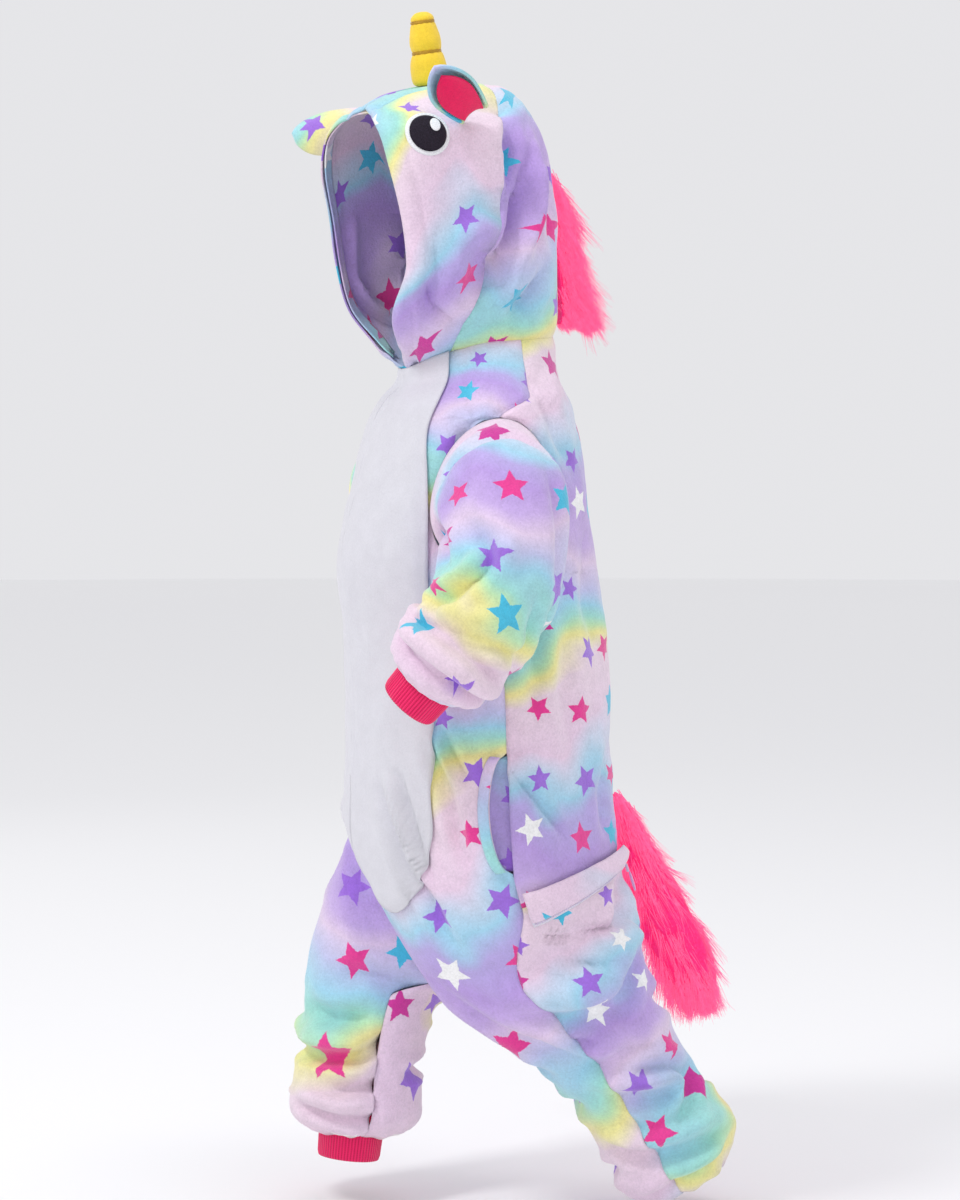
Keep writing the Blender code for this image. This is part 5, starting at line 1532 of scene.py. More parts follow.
# ---------------------------------------------------------------- sleeves and cuffs
@dataclass
class Sleeves:
    """The two sleeves, bloused over rib cuffs, and the rib cuffs at the wrists and ankles."""

    body: WalkingBody
    finishes: Finishes
    cuff_wall: float = 2.2
    wrist_radius: float = 32.0
    wrist_length: float = 46.0
    wrist_tuck: float = 14.0
    ankle_radius: float = 34.5
    ankle_length: float = 42.0

    def sleeve(self, side: Side, shift: tuple[float, float]) -> bpy.types.Object:
        """Sew a sleeve.

        Args:
            side: The wearer's side.
            shift: How far the print is moved on it, in metres.

        Returns:
            The sleeve.
        """
        form = ArmForm(self.body, side)
        last = len(form.rows)

        def place(u: float, v: float) -> Place:
            """Return a point of the sleeve, turned so that its doubled column is under the arm."""
            return form.place(360 * u - 180, v * last)

        cloth = Cloth.laid(96, 110, place)
        over = side is Side.LEFT
        folds = LEFT_ARM_FOLDS if side is Side.LEFT else RIGHT_ARM_FOLDS
        relief = sum(fold.relief(cloth.across, cloth.along, form.chart) for fold in folds)
        turn = np.linspace(-math.pi, math.pi, 97)[None, :]
        depth = cloth.along
        ring = np.stack([np.cos(turn), np.sin(turn)], axis=-1)[0] * 1.1
        seed = 5.0 if side is Side.LEFT else 23.0
        swell = np.array([[noise.noise(Vector((x, y, d / 62 + seed))) for x, y in ring] for d in depth[:, 0]])
        end = form.depths[-1]
        gathers = np.exp(-(end - depth) / 9) * 1.8 * np.sin(17 * turn + 0.8 * np.sin(3 * turn))
        free = np.clip(depth / 24, 0, 1) * np.clip((end - depth) / 10, 0, 1)
        relief = (softened(relief) + 3.4 * swell) * free + gathers * np.clip((end - depth) / 4, 0, 1)
        relief = relief - 2.4 * np.exp(-((depth / 8) ** 2)) * np.clip(depth / 3, 0, 1)
        shaped = raised(cloth, relief, over, closed=True)
        u, v = cloth.runs()
        middle = u[:, 48:49]
        coords = np.stack([u - middle, -v[:, 48:49] + 0 * u], axis=-1) + np.array(shift)
        return sewn(f"sleeve_{side.word}_cloth", f"sleeve_{side.word}",
                    cloth_mesh(shaped, coords, over, closed=True), self.finishes.printed,
                    (PLUSH_WALL, Layer.LAID_ON), "plush_print", cloth.cut())

    def cuff(self, name: str, middle: Vector, along: Vector, radius: float,
             length: float) -> bpy.types.Object:
        """Knit a rib cuff as an open tube, a little narrower at its end.

        Args:
            name: The node that it stands for.
            middle: The middle of its hidden end, in millimetres.
            along: Its direction.
            radius: Its radius, in millimetres.
            length: Its length, in millimetres.

        Returns:
            The cuff.
        """
        back = (Vector((0, 1, 0)) - along * along.y).normalized()
        out = along.cross(back)

        def place(u: float, v: float) -> Place:
            """Return a point of the tube."""
            turn = 2 * math.pi * u
            swell = 1 - 0.055 * v + 0.012 * math.sin(3 * turn + 1.0) - 0.03 * max(0.0, v - 0.9) / 0.1
            reach = (out * math.cos(turn) + back * math.sin(turn)) * radius * swell
            return (middle + along * length * v + reach) * MM, turn * radius, length * v

        cloth = Cloth.laid(128, 20, place)
        u, v = cloth.runs()
        count = round(2 * math.pi * radius / RIB_PITCH)
        pitch = 2 * math.pi * radius / count * MM
        ribs = 0.45 * np.sin(u / u[:, -1:] * count * 2 * math.pi)
        even = np.stack([u / u[:, -1:] * round(u[0, -1] / pitch) * RIB_PITCH * MM, -v], axis=-1)
        shaped = raised(cloth, ribs, True, closed=True)
        return sewn(f"{name}_rib", name, cloth_mesh(shaped, even, True, closed=True), self.finishes.rib,
                    (self.cuff_wall, Layer.OUTER_FACE), "rib_pink", cloth.cut())

    def build(self) -> None:
        """Sew the sleeves and the four cuffs."""
        shifts = {Side.LEFT: (0.03, 0.27), Side.RIGHT: (0.36, 0.14)}
        tucks = {Side.LEFT: 41.0, Side.RIGHT: 17.0}
        for side in Side:
            self.sleeve(side, shifts[side])
            first, last = ARM_ROWS[side][-4], ARM_ROWS[side][-1]
            along = Vector(((last.x - first.x) * side.value, last.y - first.y, last.z - first.z)).normalized()
            if side is Side.LEFT:
                along = Vector((-0.43, -0.52, -0.74)).normalized()
            start = Vector((last.x * side.value, last.y, last.z)) - along * self.wrist_tuck
            self.cuff(f"wrist_cuff_{side.word}", start, along, self.wrist_radius, self.wrist_length)
            centre, top = 75.0 * side.value, HEM + 1 + tucks[side]
            start = self.body.posed(Vector((centre, 0, top)))
            end = self.body.posed(Vector((centre, 0, top - self.ankle_length)))
            self.cuff(f"ankle_cuff_{side.word}", start, (end - start).normalized(), self.ankle_radius,
                      self.ankle_length)


# ---------------------------------------------------------------- hood
@dataclass
class Hood:
    """The hood of five panels, its facing and its eyes; its ears and horn are made by Ear and Horn."""

    finishes: Finishes
    form: HoodForm
    columns: int = 64
    rows: int = 132
    facing_depth: float = 23.0
    facing_gap: float = 2.6
    facing_wall: float = 1.5
    eye_row: float = 6.0
    eye_angle: float = 68.0

    def half(self, side: Side, shift: tuple[float, float]) -> bmesh.types.BMesh:
        """Return half of the hood's cloth, facing forward, with its folds.

        Args:
            side: The wearer's side.
            shift: How far the print is moved on it, in metres.

        Returns:
            The cloth as a mesh.
        """
        last = len(HOOD_ROWS) - 1

        def place(u: float, v: float) -> Place:
            """Return a point of the half hood."""
            row = round(v * last, 5)
            first = self.form.face_edge(row)
            angle = first + (180 - first) * u
            point = self.form.straight(angle, row)
            return Vector((point.x * side.value, point.y, point.z)), *self.form.chart(angle, row)

        cloth = Cloth.laid(self.columns, self.rows, place)
        over = side is Side.RIGHT
        folds = LEFT_HOOD_FOLDS if side is Side.LEFT else RIGHT_HOOD_FOLDS
        seed = 31.0 if side is Side.LEFT else 47.0
        relief = sum(fold.relief(cloth.across, cloth.along, self.form.chart) for fold in folds)
        x, y, z = (cloth.points[..., k] for k in range(3))
        spots = cloth.points.reshape(-1, 3) / 0.055 + seed
        swell = np.array([noise.noise(Vector(spot)) for spot in spots]).reshape(x.shape)
        middle = np.clip(np.abs(x) / MM / 14, 0, 1)
        crown = np.clip((self.rows - np.arange(self.rows + 1)) / 14, 0, 1)[:, None]
        neck = np.clip(np.arange(self.rows + 1) / 8, 0, 1)[:, None]
        offset = cloth.points - np.array(HOOD_SEAM_POINT)
        seam = np.abs(offset @ np.array(HOOD_SEAM_NORMAL)) / MM
        strip = np.abs(np.abs(x) / MM - STRIP_HALF)
        u, v = cloth.runs()
        edge = u / MM
        rings = [hood_ring(round(j / self.rows * last, 5)) for j in range(self.rows + 1)]
        open_here = np.array([ring.opening > 0.5 for ring in rings])
        stitched = np.exp(-(((edge - self.facing_depth) / 2.6) ** 2)) * open_here[:, None]
        rolled = np.exp(-((edge / 5) ** 2)) * open_here[:, None]
        relief = (relief * middle + 3.0 * swell) * crown * neck
        relief -= (2.6 * np.exp(-((seam / 6) ** 2)) + 2.4 * np.exp(-((strip / 6) ** 2))) * crown
        relief -= 1.6 * stitched + 1.4 * rolled
        relief += 1.6 * np.exp(-(((edge - 11) / 7) ** 2)) * open_here[:, None]
        relief -= 2.2 * np.exp(-((v / MM / 6) ** 2))
        shaped = raised(cloth, relief * np.clip(crown * 3, 0, 1), over)
        column = round(0.45 * self.columns)
        coords = np.stack([u - u[:, column:column + 1], v], axis=-1) + np.array(shift)
        return cloth_mesh(shaped, coords, over)

    @staticmethod
    def keep_side(bm: bmesh.types.BMesh, point: Vector, normal: Vector, above_chin: bool = False) -> None:
        """Cut a mesh by a plane and keep what lies on its positive side.

        Args:
            bm: The mesh.
            point: A point of the plane.
            normal: The side that is kept.
            above_chin: Whether the cloth under the chin is left whole.
        """
        geometry = [item for item in bm.verts[:] + bm.edges[:] + bm.faces[:]
                    if not above_chin or not all(vert.co.z < CHIN_TOP * MM and vert.co.y < 0
                                                 for vert in getattr(item, "verts", (item,)))]
        bmesh.ops.bisect_plane(bm, geom=geometry, plane_co=point, plane_no=normal, clear_inner=True,
                               dist=1e-7)

    def turn(self, bm: bmesh.types.BMesh) -> None:
        """Turn a piece of the hood to where the hood looks."""
        for vert in bm.verts:
            vert.co = self.form.turned(vert.co)

    @staticmethod
    def measure(bm: bmesh.types.BMesh) -> tuple[float, float, float]:
        """Return a cut panel's width, length and area, in metres."""
        area = sum(face.calc_area() for face in bm.faces)
        deep = max(v.co.y for v in bm.verts) - min(v.co.y for v in bm.verts)
        tall = max(v.co.z for v in bm.verts) - min(v.co.z for v in bm.verts)
        wide = max(v.co.x for v in bm.verts) - min(v.co.x for v in bm.verts)
        width, length = 1.25 * math.hypot(deep, wide * 0.6), 1.1 * math.hypot(tall, wide * 0.5)
        return width, length, min(area, width * length)

    def panels(self) -> None:
        """Sew the face and back panels of both sides."""
        shifts = {("hood_face", Side.LEFT): (0.02, 0.075), ("hood_back", Side.LEFT): (0.23, 0.04),
                  ("hood_face", Side.RIGHT): (0.35, 0.09), ("hood_back", Side.RIGHT): (0.14, 0.02)}
        for (word, side), shift in shifts.items():
            bm = self.half(side, shift)
            beside = Vector((side.value, 0, 0))
            self.keep_side(bm, beside * (STRIP_HALF + EDGE) * MM, beside, above_chin=True)
            normal = -HOOD_SEAM_NORMAL if word == "hood_face" else HOOD_SEAM_NORMAL
            self.keep_side(bm, HOOD_SEAM_POINT + normal * EDGE * MM, normal)
            bmesh.ops.dissolve_degenerate(bm, edges=bm.edges, dist=0.05 * MM)
            cut = self.measure(bm)
            self.turn(bm)
            name = f"{word}_{side.word}"
            sewn(f"{name}_cloth", name, bm, self.finishes.printed, (PLUSH_WALL, Layer.OUTER_FACE),
                 "plush_print", cut)

    def strip(self) -> None:
        """Sew the strip over the crown and down the back of the head."""
        whole = bmesh.new()
        for side in Side:
            half = self.half(side, (0.0, 0.0))
            mesh = bpy.data.meshes.new("half")
            half.to_mesh(mesh)
            half.free()
            whole.from_mesh(mesh)
            bpy.data.meshes.remove(mesh)
        bmesh.ops.remove_doubles(whole, verts=whole.verts, dist=0.4 * MM)
        bmesh.ops.dissolve_degenerate(whole, edges=whole.edges, dist=0.05 * MM)
        for side in Side:
            beside = Vector((-side.value, 0, 0))
            self.keep_side(whole, Vector((side.value * (STRIP_HALF - EDGE) * MM, 0, 0)), beside)
        loose = [v for v in whole.verts if v.co.z < CHIN_TOP * MM and v.co.y < 0]
        bmesh.ops.delete(whole, geom=loose, context="VERTS")
        layer = whole.loops.layers.uv["print"]
        for face in whole.faces:
            for loop in face.loops:
                y, z = loop.vert.co.y + 0.045, loop.vert.co.z - 0.13
                loop[layer].uv = (loop.vert.co.x + 0.17, 0.135 * math.atan2(-y, z) + 0.013)
        length = sum(face.calc_area() for face in whole.faces) / (2 * STRIP_HALF * MM)
        cut = (2 * STRIP_HALF * MM, length, 2 * STRIP_HALF * MM * length)
        self.turn(whole)
        sewn("hood_strip_cloth", "hood_strip", whole, self.finishes.printed, (PLUSH_WALL, Layer.OUTER_FACE),
             "plush_print", cut)

    def facing(self) -> None:
        """Sew the facing turned in behind the face edge, and the row of stitches that holds it."""
        low, top = 0.45, 7.72

        def edge_at(around: float) -> tuple[int, float]:
            """Return the side and the ring of a place round the face edge."""
            return (1 if around >= 0 else -1), low + (top - low) * (1 - abs(around)) ** 0.8

        def place(u: float, v: float) -> Place:
            """Return a point of the facing."""
            side, row = edge_at(2 * v - 1)
            width = max(hood_ring(round(row, 5)).half_width, 1)
            angle = self.form.face_edge(round(row, 5)) + math.degrees((1.2 + self.facing_depth * u) / width)
            point = self.form.lifted(angle, row, -(PLUSH_WALL + self.facing_gap))
            turned = self.form.turned(Vector((point.x * side, point.y, point.z)))
            return turned, u * self.facing_depth, v * 600

        cloth = Cloth.laid(6, 140, place)
        coords = arc_shares(cloth, 0.0, 0.3)
        sewn("hood_facing_cloth", "hood_facing", cloth_mesh(cloth, coords), self.finishes.printed,
             (self.facing_wall, Layer.LAID_ON), "plush_print", cloth.cut())
        for side in Side:
            path = []
            for k in range(90):
                row = 0.7 + (6.9 - 0.7) * k / 89
                width = hood_ring(round(row, 5)).half_width
                angle = self.form.face_edge(round(row, 5)) + math.degrees(self.facing_depth / width)
                point = self.form.lifted(angle, row, -1.0)
                path.append(self.form.turned(Vector((point.x * side.value, point.y, point.z))))
            thread = stitches(f"hood_stitches_{side.word}", path, 3.0, 2.2, 0.4, self.finishes.seam_thread)
            present(thread, [], "plush_print")

    def on_face(self, side: Side, across: float, up: float, lift: float) -> Vector:
        """Return a point of an eye, from its middle in millimetres, on the turned hood."""
        step, rounds = 0.02, 5
        centre = self.form.straight(self.eye_angle, self.eye_row)
        over = (self.form.straight(self.eye_angle + step, self.eye_row) - centre) / step
        rise = (self.form.straight(self.eye_angle, self.eye_row + step) - centre) / step
        right = over.normalized()
        upward = (rise - right * rise.dot(right)).normalized()
        angle, row = self.eye_angle, self.eye_row
        for _ in range(rounds):
            away = self.form.straight(angle, row) - centre
            row += (up * MM - away.dot(upward)) / rise.dot(upward)
            angle += (across * MM - away.dot(right)) / over.length
        point = self.form.lifted(angle, row, lift)
        return self.form.turned(Vector((point.x * side.value, point.y, point.z)))

    def eyes(self) -> None:
        """Lay the felt discs of the eyes on the hood, each sewn round its edge."""
        layers = (("white", 22.5, 22.5, 1.3, 0.0, 0.0, self.finishes.felt_white, "felt_white"),
                  ("pupil", 18.5, 18.5, 2.8, 0.0, 0.0, self.finishes.felt_black, "felt_black"),
                  ("glint", 4.6, 6.0, 4.3, 7.5, 8.0, self.finishes.felt_white, "felt_white"))
        for side in Side:
            over = side is Side.RIGHT
            for word, wide, tall, lift, right, high, material, slot in layers:
                def place(u: float, v: float, wide: float = wide, tall: float = tall, lift: float = lift,
                          right: float = right, high: float = high, side: Side = side) -> Place:
                    """Return a point of the disc, with its edge rounded down."""
                    turn, out = 2 * math.pi * u, 1 - v
                    across, up = wide * out * math.cos(turn), tall * out * math.sin(turn)
                    sunk = 0.35 * ease((out - 0.93) / 0.07)
                    return self.on_face(side, right + across, high + up, lift - sunk), turn * wide, out * tall

                cloth = Cloth.laid(72, 10, place)
                bm = cloth_mesh(cloth, arc_shares(cloth, 0.0, 0.0), over, closed=True)
                piece = finished(f"eye_{word}_{side.word}_felt", bm, material)
                thicken(piece, 1.1, Layer.LAID_ON)
                present(piece, [f"eye_{word}_{side.word}"], slot)
                size = (2 * wide * MM, 2 * tall * MM, math.pi * wide * tall * MM * MM)
                declare(size)
            turns = [2 * math.pi * k / 120 for k in range(121)]
            rim = [self.on_face(side, RIM_STITCH * math.cos(turn), RIM_STITCH * math.sin(turn), 2.5)
                   for turn in turns]
            thread = stitches(f"eye_stitches_{side.word}", rim, 2.2, 1.6, 0.3, self.finishes.felt_white)
            present(thread, [], "felt_white")

    def build(self) -> None:
        """Sew the hood and dress it."""
        self.panels()
        self.strip()
        self.facing()
        self.eyes()


@dataclass(frozen=True)
class Ear:
    """A cupped leaf of two layers: where it starts, where its tip is and which way its lining looks."""

    side: Side
    base: Vector
    tip: Vector
    facing: Vector
    half_width: float
    cup: float = 0.9

    def leaf(self, shrink: float, lift: float, puff: float, form: HoodForm) -> Cloth:
        """Return one layer of the ear.

        Args:
            shrink: Its size, as a share of the outer layer's.
            lift: How far it stands in front of the outer layer, in millimetres.
            puff: How far its middle swells out backwards, in millimetres.
            form: The hood that it is sewn to.

        Returns:
            The layer.
        """
        along = self.tip - self.base
        length = along.length
        along.normalize()
        facing = (self.facing - along * self.facing.dot(along)).normalized()
        across = along.cross(facing)
        start = 0.04 if shrink < 1 else 0.0

        def place(u: float, v: float) -> Place:
            """Return a point of the layer."""
            rounding = math.sqrt(max(0.0, 1 - max(0.0, (v - 0.5) / 0.5) ** 2.4))
            width = self.half_width * shrink * (0.42 + 0.58 * math.sin(math.pi * (0.12 + 0.5 * v))) * rounding
            swing, reach = (2 * u - 1) * self.cup, width / self.cup
            swell = puff * math.sin(math.pi * u) ** 0.6 * math.sin(math.pi * min(v, 0.96)) ** 0.6
            out = across * reach * math.sin(swing) + facing * (reach * (1 - math.cos(swing)) + lift - swell)
            point = self.base + along * length * (start + (shrink - start) * v) + out
            return form.turned(point * MM), (2 * u - 1) * width, v * length

        return Cloth.laid(28, 40, place)

    def build(self, form: HoodForm, finishes: Finishes, shift: tuple[float, float]) -> None:
        """Sew the ear's printed outside and its hot pink lining."""
        outer = self.leaf(1.0, 0.0, 7.0, form)
        coords = arc_shares(outer, 0.5, 0.0) + np.array(shift)
        sewn(f"ear_outer_{self.side.word}_cloth", f"ear_outer_{self.side.word}",
             cloth_mesh(outer, coords, closed=True), finishes.printed, (3.0, Layer.OUTER_FACE),
             "plush_print", outer.cut())
        lining = self.leaf(0.86, 0.8, -4.0, form)
        bm = cloth_mesh(lining, arc_shares(lining, 0.5, 0.0), closed=True)
        sewn(f"ear_lining_{self.side.word}_cloth", f"ear_lining_{self.side.word}", bm, finishes.lining,
             (1.5, Layer.LAID_ON), "lining_pink", lining.cut())


EARS = (
    Ear(Side.LEFT, Vector((92, -70, 244)), Vector((122, -128, 281)), Vector((0.75, -0.5, -0.2)), 25.0),
    Ear(Side.RIGHT, Vector((-90, -86, 250)), Vector((-146, -150, 234)), Vector((-0.8, 0.1, -0.5)), 29.0),
)


class HornPoint(NamedTuple):
    """A point of the horn's outline."""

    height: float
    radius: float


@dataclass(frozen=True)
class Horn:
    """A padded plush horn, bound tight by gold thread in two grooves."""

    base: Vector = Vector((0, -68, 277.4))
    lean: float = 9.0
    outline: tuple[HornPoint, ...] = (
        HornPoint(0, 14), HornPoint(3, 17.8), HornPoint(10, 18.9), HornPoint(22, 18.0), HornPoint(30, 15.8),
        HornPoint(33, 13.4), HornPoint(35.5, 14.9), HornPoint(42, 16.1), HornPoint(50, 15.2),
        HornPoint(60, 12.8), HornPoint(63.5, 10.6), HornPoint(66, 11.7), HornPoint(69.5, 10.6),
        HornPoint(73, 6.2), HornPoint(74, 0))
    grooves: tuple[HornPoint, ...] = (HornPoint(33, 13.6), HornPoint(63.5, 10.8))
    thread: float = 0.7

    def place(self) -> Matrix:
        """Return where the horn stands on the turned hood."""
        turn = Matrix.Rotation(math.radians(HOOD_TURN), 4, "Z")
        return turn @ Matrix.Translation(self.base * MM) @ Matrix.Rotation(math.radians(self.lean), 4, "X")

    def build(self, finishes: Finishes) -> None:
        """Spin the horn and wind its thread."""
        bm = bmesh.new()
        count = 64
        stops = [k / count * (len(self.outline) - 1) for k in range(count + 1)]
        points = [(read(self.outline, s, "radius", key=None), read(self.outline, s, "height", key=None))
                  for s in stops]
        verts = [bm.verts.new((0, 0, 0))] + [bm.verts.new((max(r, 0) * MM, 0, h * MM)) for r, h in points]
        edges = [bm.edges.new(pair) for pair in zip(verts, verts[1:])]
        bmesh.ops.spin(bm, geom=verts + edges, angle=2 * math.pi, steps=72, axis=(0, 0, 1), cent=(0, 0, 0),
                       use_merge=True)
        bmesh.ops.remove_doubles(bm, verts=bm.verts, dist=0.02 * MM)
        bmesh.ops.recalc_face_normals(bm, faces=bm.faces)
        for vert in bm.verts:
            turn, height = math.atan2(vert.co.y, vert.co.x), vert.co.z / MM
            gathered = sum(math.exp(-(((height - groove.height) / 6) ** 2)) for groove in self.grooves)
            pleat = 0.028 * gathered * math.sin(13 * turn + height / 5)
            lump = 0.03 * noise.noise(vert.co / 0.014 + Vector((4, 9, 2)))
            vert.co.x *= 1 + pleat + lump
            vert.co.y *= 1 + pleat + lump
        bmesh.ops.transform(bm, matrix=self.place(), verts=bm.verts)
        piece = present(finished("horn_plush", bm, finishes.horn), ["horn"], "horn_plush")
        for word, groove in zip(("lower", "upper"), self.grooves):
            self.wind(f"horn_thread_{word}", groove, finishes)

    def wind(self, name: str, groove: HornPoint, finishes: Finishes) -> None:
        """Wind three turns of thread in a groove."""
        bm = bmesh.new()
        radius = groove.radius + self.thread + 0.35
        for level, share in ((-0.8, 0.55), (0.0, 0.62), (0.8, 0.55)):
            made = bmesh.ops.create_circle(bm, segments=8, radius=share * MM, matrix=Matrix.Translation(
                (radius * MM, 0, (groove.height + level) * MM)) @ Matrix.Rotation(math.pi / 2, 4, "X"))
            ring = made["verts"]
            edges = list({edge for vert in ring for edge in vert.link_edges})
            bmesh.ops.spin(bm, geom=ring + edges, angle=2 * math.pi, steps=72, axis=(0, 0, 1), cent=(0, 0, 0),
                           use_merge=True)
        bmesh.ops.remove_doubles(bm, verts=bm.verts, dist=0.01 * MM)
        bmesh.ops.recalc_face_normals(bm, faces=bm.faces)
        bmesh.ops.transform(bm, matrix=self.place(), verts=bm.verts)
        present(finished(f"{name}_wound", bm, finishes.thread), [name], "gold_thread")


# ---------------------------------------------------------------- long fur
class FurRow(NamedTuple):
    """A ring of the fur's core: its middle and its half depth and half width."""

    x: float
    y: float
    z: float
    half_depth: float
    half_width: float


MANE_ROWS = (FurRow(0, 62, 192, 2, 3), FurRow(0, 66, 182, 13, 9), FurRow(0, 67, 160, 24, 13),
             FurRow(0, 70, 130, 35, 15), FurRow(0, 74, 95, 40, 16), FurRow(0, 75, 65, 46, 16),
             FurRow(0, 75, 46, 52, 14), FurRow(0, 74, 37, 34, 7))
TAIL_ROWS = (FurRow(0, 134, -452, 4, 4), FurRow(0, 142, -466, 12, 12), FurRow(2, 154, -496, 22, 20),
             FurRow(5, 168, -535, 33, 27), FurRow(8, 187, -578, 42, 31), FurRow(9, 207, -620, 46, 31),
             FurRow(9, 222, -655, 38, 24), FurRow(9, 224, -684, 12, 8))


@dataclass
class Fur:
    """Long acrylic fur on a knitted backing: a soft core, and locks of fibres that part towards the tips."""

    node: str
    rows: tuple[FurRow, ...]
    droop: Vector
    length: float
    locks: int
    fibres: int
    seed: int
    half_round: bool
    core_share: float = 0.66
    fibre: float = 0.42
    steps: int = 4

    def ring_place(self, turn: float, share: float, reach: float, form: HoodForm) -> Vector:
        """Return a point of the fur's form.

        Args:
            turn: The turn round the core, in radians.
            share: The place down the core, from 0 to 1.
            reach: How far out it is, as a share of the fur's reach.
            form: The hood that a mane is turned with.

        Returns:
            The point, in metres.
        """
        at = share * (len(self.rows) - 1)
        x, y, z, deep, wide = (read(self.rows, at, column, key=None) for column in FurRow._fields)
        if self.half_round:
            out = deep * max(math.cos(turn), 0.0) * reach + 1.2
            return form.turned(Vector((x + wide * math.sin(turn) * max(reach, 0.55), y + out, z)) * MM)
        ahead = min(at + 0.1, len(self.rows) - 1)
        before = max(at - 0.1, 0)
        along = Vector([read(self.rows, ahead, c, key=None) - read(self.rows, before, c, key=None)
                        for c in "xyz"])
        deep_way = along.normalized().cross(Vector((1, 0, 0))).normalized()
        return (Vector((x, y, z)) + deep_way * deep * reach * math.cos(turn)
                + Vector((1, 0, 0)) * wide * reach * math.sin(turn)) * MM

    def core(self, form: HoodForm, finishes: Finishes) -> bpy.types.Object:
        """Make the fur's backing and the dense fur close to it."""
        columns, rows = 36, 48

        def place(u: float, v: float) -> Place:
            """Return a point of the core, closed at both ends."""
            turn = 2 * math.pi * u
            ends = math.sqrt(max(0.0, 1 - abs(2 * min(max(v, 0.0), 1.0) - 1) ** 6))
            spot = Vector((3 * math.cos(turn), 3 * math.sin(turn), 9 * v + self.seed))
            rough = 1 + 0.22 * noise.noise(spot)
            return self.ring_place(turn, v, self.core_share * ends * rough, form), turn, v

        cloth = Cloth.laid(columns, rows, place)
        bm = cloth_mesh(cloth, np.zeros((*cloth.across.shape, 2)), closed=True)
        bmesh.ops.remove_doubles(bm, verts=bm.verts, dist=0.3 * MM)
        bmesh.ops.holes_fill(bm, edges=[edge for edge in bm.edges if edge.is_boundary], sides=0)
        bmesh.ops.recalc_face_normals(bm, faces=bm.faces)
        return present(finished(f"{self.node}_backing", bm, finishes.fur_root), [self.node], "fur_pink")

    def strands(self, form: HoodForm, finishes: Finishes) -> bpy.types.Object:
        """Grow the fur's fibres in locks, from the core out and down, and make them one mesh."""
        chance = random.Random(self.seed)
        curve = bpy.data.curves.new(f"{self.node}_fibres", "CURVE")
        curve.dimensions, curve.fill_mode, curve.bevel_resolution = "3D", "FULL", 0
        curve.bevel_depth = self.fibre * MM
        for _ in range(self.locks):
            share = chance.random() ** 0.85 * 0.97
            turn = chance.uniform(-math.pi, math.pi) if not self.half_round else chance.uniform(-1.5, 1.5)
            root = self.ring_place(turn, share, self.core_share * 0.8, form)
            crown = self.ring_place(turn, share, 1.0, form)
            down = self.ring_place(turn, min(share + 0.16, 1.0), 0.9, form)
            way = (crown - root) + (down - crown) * 0.7
            reach = min(self.length * MM, max(way.length * 1.35, 9 * MM)) * chance.uniform(0.75, 1.12)
            way = way.normalized() * 0.62 + self.droop * 0.38
            lean = Vector([chance.gauss(0, 0.16) for _ in range(3)])
            bend = Vector([chance.gauss(0, 0.14) for _ in range(3)])
            for _ in range(self.fibres):
                self.grow(curve, root, way + lean, bend, reach, chance)
        lump = bpy.data.objects.new("fibres", curve)
        bpy.context.scene.collection.objects.link(lump)
        mesh = bpy.data.meshes.new_from_object(lump.evaluated_get(bpy.context.evaluated_depsgraph_get()))
        bpy.data.objects.remove(lump)
        bpy.data.curves.remove(curve)
        bm = bmesh.new()
        bm.from_mesh(mesh)
        bpy.data.meshes.remove(mesh)
        return present(finished(f"{self.node}_fur", bm, finishes.fur), [], "fur_pink")

    def grow(self, curve: bpy.types.Curve, root: Vector, way: Vector, bend: Vector, reach: float,
             chance: random.Random) -> None:
        """Add one fibre to a lock.

        Args:
            curve: The curve that holds the fibres.
            root: The lock's root, in metres.
            way: The lock's direction.
            bend: How the lock curls.
            reach: The lock's length, in metres.
            chance: Where the random numbers come from.
        """
        spread = Vector([chance.gauss(0, 1) for _ in range(3)])
        start = root + spread * 2.3 * MM
        own = (way + Vector([chance.gauss(0, 0.10) for _ in range(3)])).normalized()
        length = reach * chance.uniform(0.82, 1.1)
        spline = curve.splines.new("POLY")
        spline.points.add(self.steps)
        for k in range(self.steps + 1):
            t = k / self.steps
            sag = self.droop * 0.35 * t * t + bend * t * t
            closer = -spread * 1.2 * MM * t
            point = start + (own * t + sag) * length + closer
            spline.points[k].co = (*point, 1)
            spline.points[k].radius = 1.0 - 0.82 * t

    def build(self, form: HoodForm, finishes: Finishes) -> None:
        """Make the core and the fibres."""
        self.core(form, finishes)
        self.strands(form, finishes)


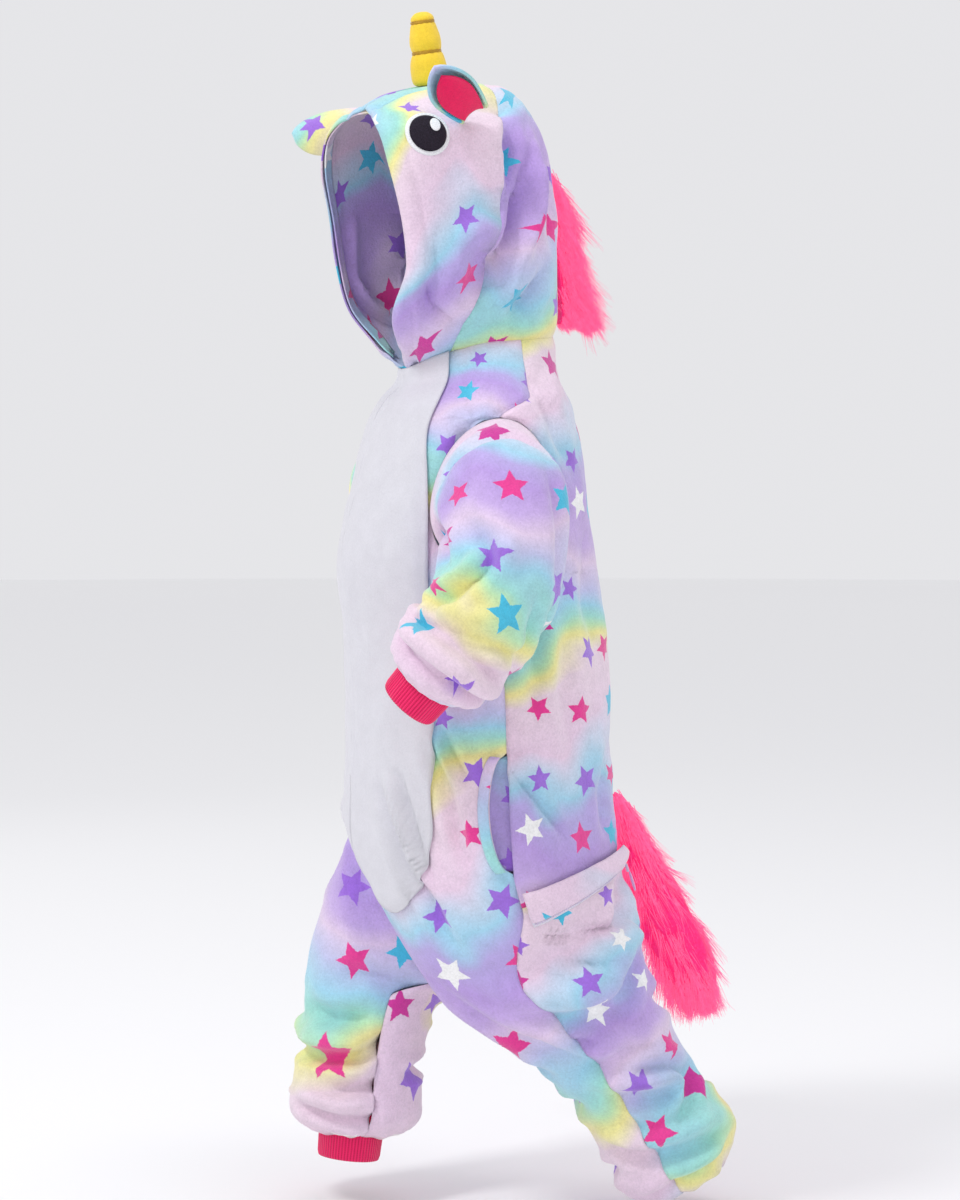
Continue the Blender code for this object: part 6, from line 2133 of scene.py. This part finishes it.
# ---------------------------------------------------------------- studio
@dataclass(frozen=True)
class Studio:
    """A plain pale floor, plain soft light and the camera."""

    azimuth: float = 73.0
    elevation: float = 3.0
    distance: float = 3.8
    aim_across: float = -0.010
    aim_height: float = -0.247
    lens: float = 110.7
    sensor: float = 36.0
    floor_gap: float = 0.012

    def camera(self) -> None:
        """Set the camera up at the garment's level, a little above its middle."""
        turn, rise = math.radians(self.azimuth), math.radians(self.elevation)
        across = Vector((math.cos(turn), math.sin(turn), 0))
        aim = across * self.aim_across + Vector((0, 0, self.aim_height))
        away = Vector((math.sin(turn) * math.cos(rise), -math.cos(turn) * math.cos(rise), math.sin(rise)))
        data = bpy.data.cameras.new("camera")
        data.lens, data.sensor_height, data.sensor_fit = self.lens, self.sensor, "VERTICAL"
        camera = bpy.data.objects.new("camera", data)
        camera.location = aim + away * self.distance
        camera.rotation_euler = (-away).to_track_quat("-Z", "Y").to_euler()
        bpy.context.scene.collection.objects.link(camera)
        bpy.context.scene.camera = camera

    def floor(self, lowest: float) -> None:
        """Lay the floor just below the garment."""
        bm = bmesh.new()
        bmesh.ops.create_circle(bm, cap_ends=True, segments=96, radius=14.0,
                                matrix=Matrix.Translation((0, 0, lowest - self.floor_gap)))
        material, shader = new_material("studio_floor_paint", {"Roughness": 0.9, "Specular IOR Level": 0.1})
        grain = add_node(material.node_tree, "ShaderNodeTexNoise", {}, {"Scale": 3.0, "Detail": 2.0})
        ramp = add_node(material.node_tree, "ShaderNodeValToRGB", {}, {0: grain.outputs["Fac"]})
        set_ramp(ramp.color_ramp, ((0.3, "#F7F7F8"), (0.7, "#FAFAFA")))
        material.node_tree.links.new(ramp.outputs["Color"], shader.inputs["Base Color"])
        finished("floor", bm, material)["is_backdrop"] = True

    def lights(self) -> None:
        """Set a large soft light on each side and a bright surround."""
        rows = (("key", (1.1, -2.3, 2.9), 0.8, 52.0), ("fill", (3.2, 2.4, 0.6), 3.0, 3.0),
                ("top", (0.5, 0.5, 3.0), 1.0, 14.0), ("far", (-3.0, -0.6, 1.2), 2.6, 4.0))
        for name, place, size, power in rows:
            data = bpy.data.lights.new(name, "AREA")
            data.energy, data.size = power, size
            lamp = bpy.data.objects.new(name, data)
            lamp.location = place
            lamp.rotation_euler = (Vector((0, 0, -0.25)) - lamp.location).to_track_quat("-Z", "Y").to_euler()
            bpy.context.scene.collection.objects.link(lamp)
        world = bpy.data.worlds.new("studio")
        world.use_nodes = True
        world.node_tree.nodes["Background"].inputs["Color"].default_value = linear("#F8F8FB")
        world.node_tree.nodes["Background"].inputs["Strength"].default_value = 0.84
        bpy.context.scene.world = world
        view = bpy.context.scene.view_settings
        view.view_transform, view.look, view.exposure = "Standard", "None", 0.0


def main(frame: dict[str, Any]) -> None:
    logging.basicConfig(level=logging.INFO, format="%(name)s: %(message)s")
    studio = Studio()
    studio.camera()
    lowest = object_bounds()[0][2]
    body, form, finishes = WalkingBody(), HoodForm(), Finishes()
    pieces = BodyPieces(body, finishes)
    pieces.build()
    DropSeat(body, finishes, pieces, frame["nodes"]).build()
    Sleeves(body, finishes).build()
    Hood(finishes, form).build()
    for ear, shift in zip(EARS, ((0.05, 0.09), (0.31, 0.10))):
        ear.build(form, finishes, shift)
    Horn().build(finishes)
    Fur("mane", MANE_ROWS, Vector((0, 0.42, -0.9)), 36.0, 520, 11, 7, half_round=True).build(form, finishes)
    Fur("tail", TAIL_ROWS, Vector((0, 0.3, -0.95)), 34.0, 560, 11, 11, half_round=False).build(form, finishes)
    studio.floor(lowest)
    studio.lights()


if __name__ == "__main__":
    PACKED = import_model()
    main(PACKED)
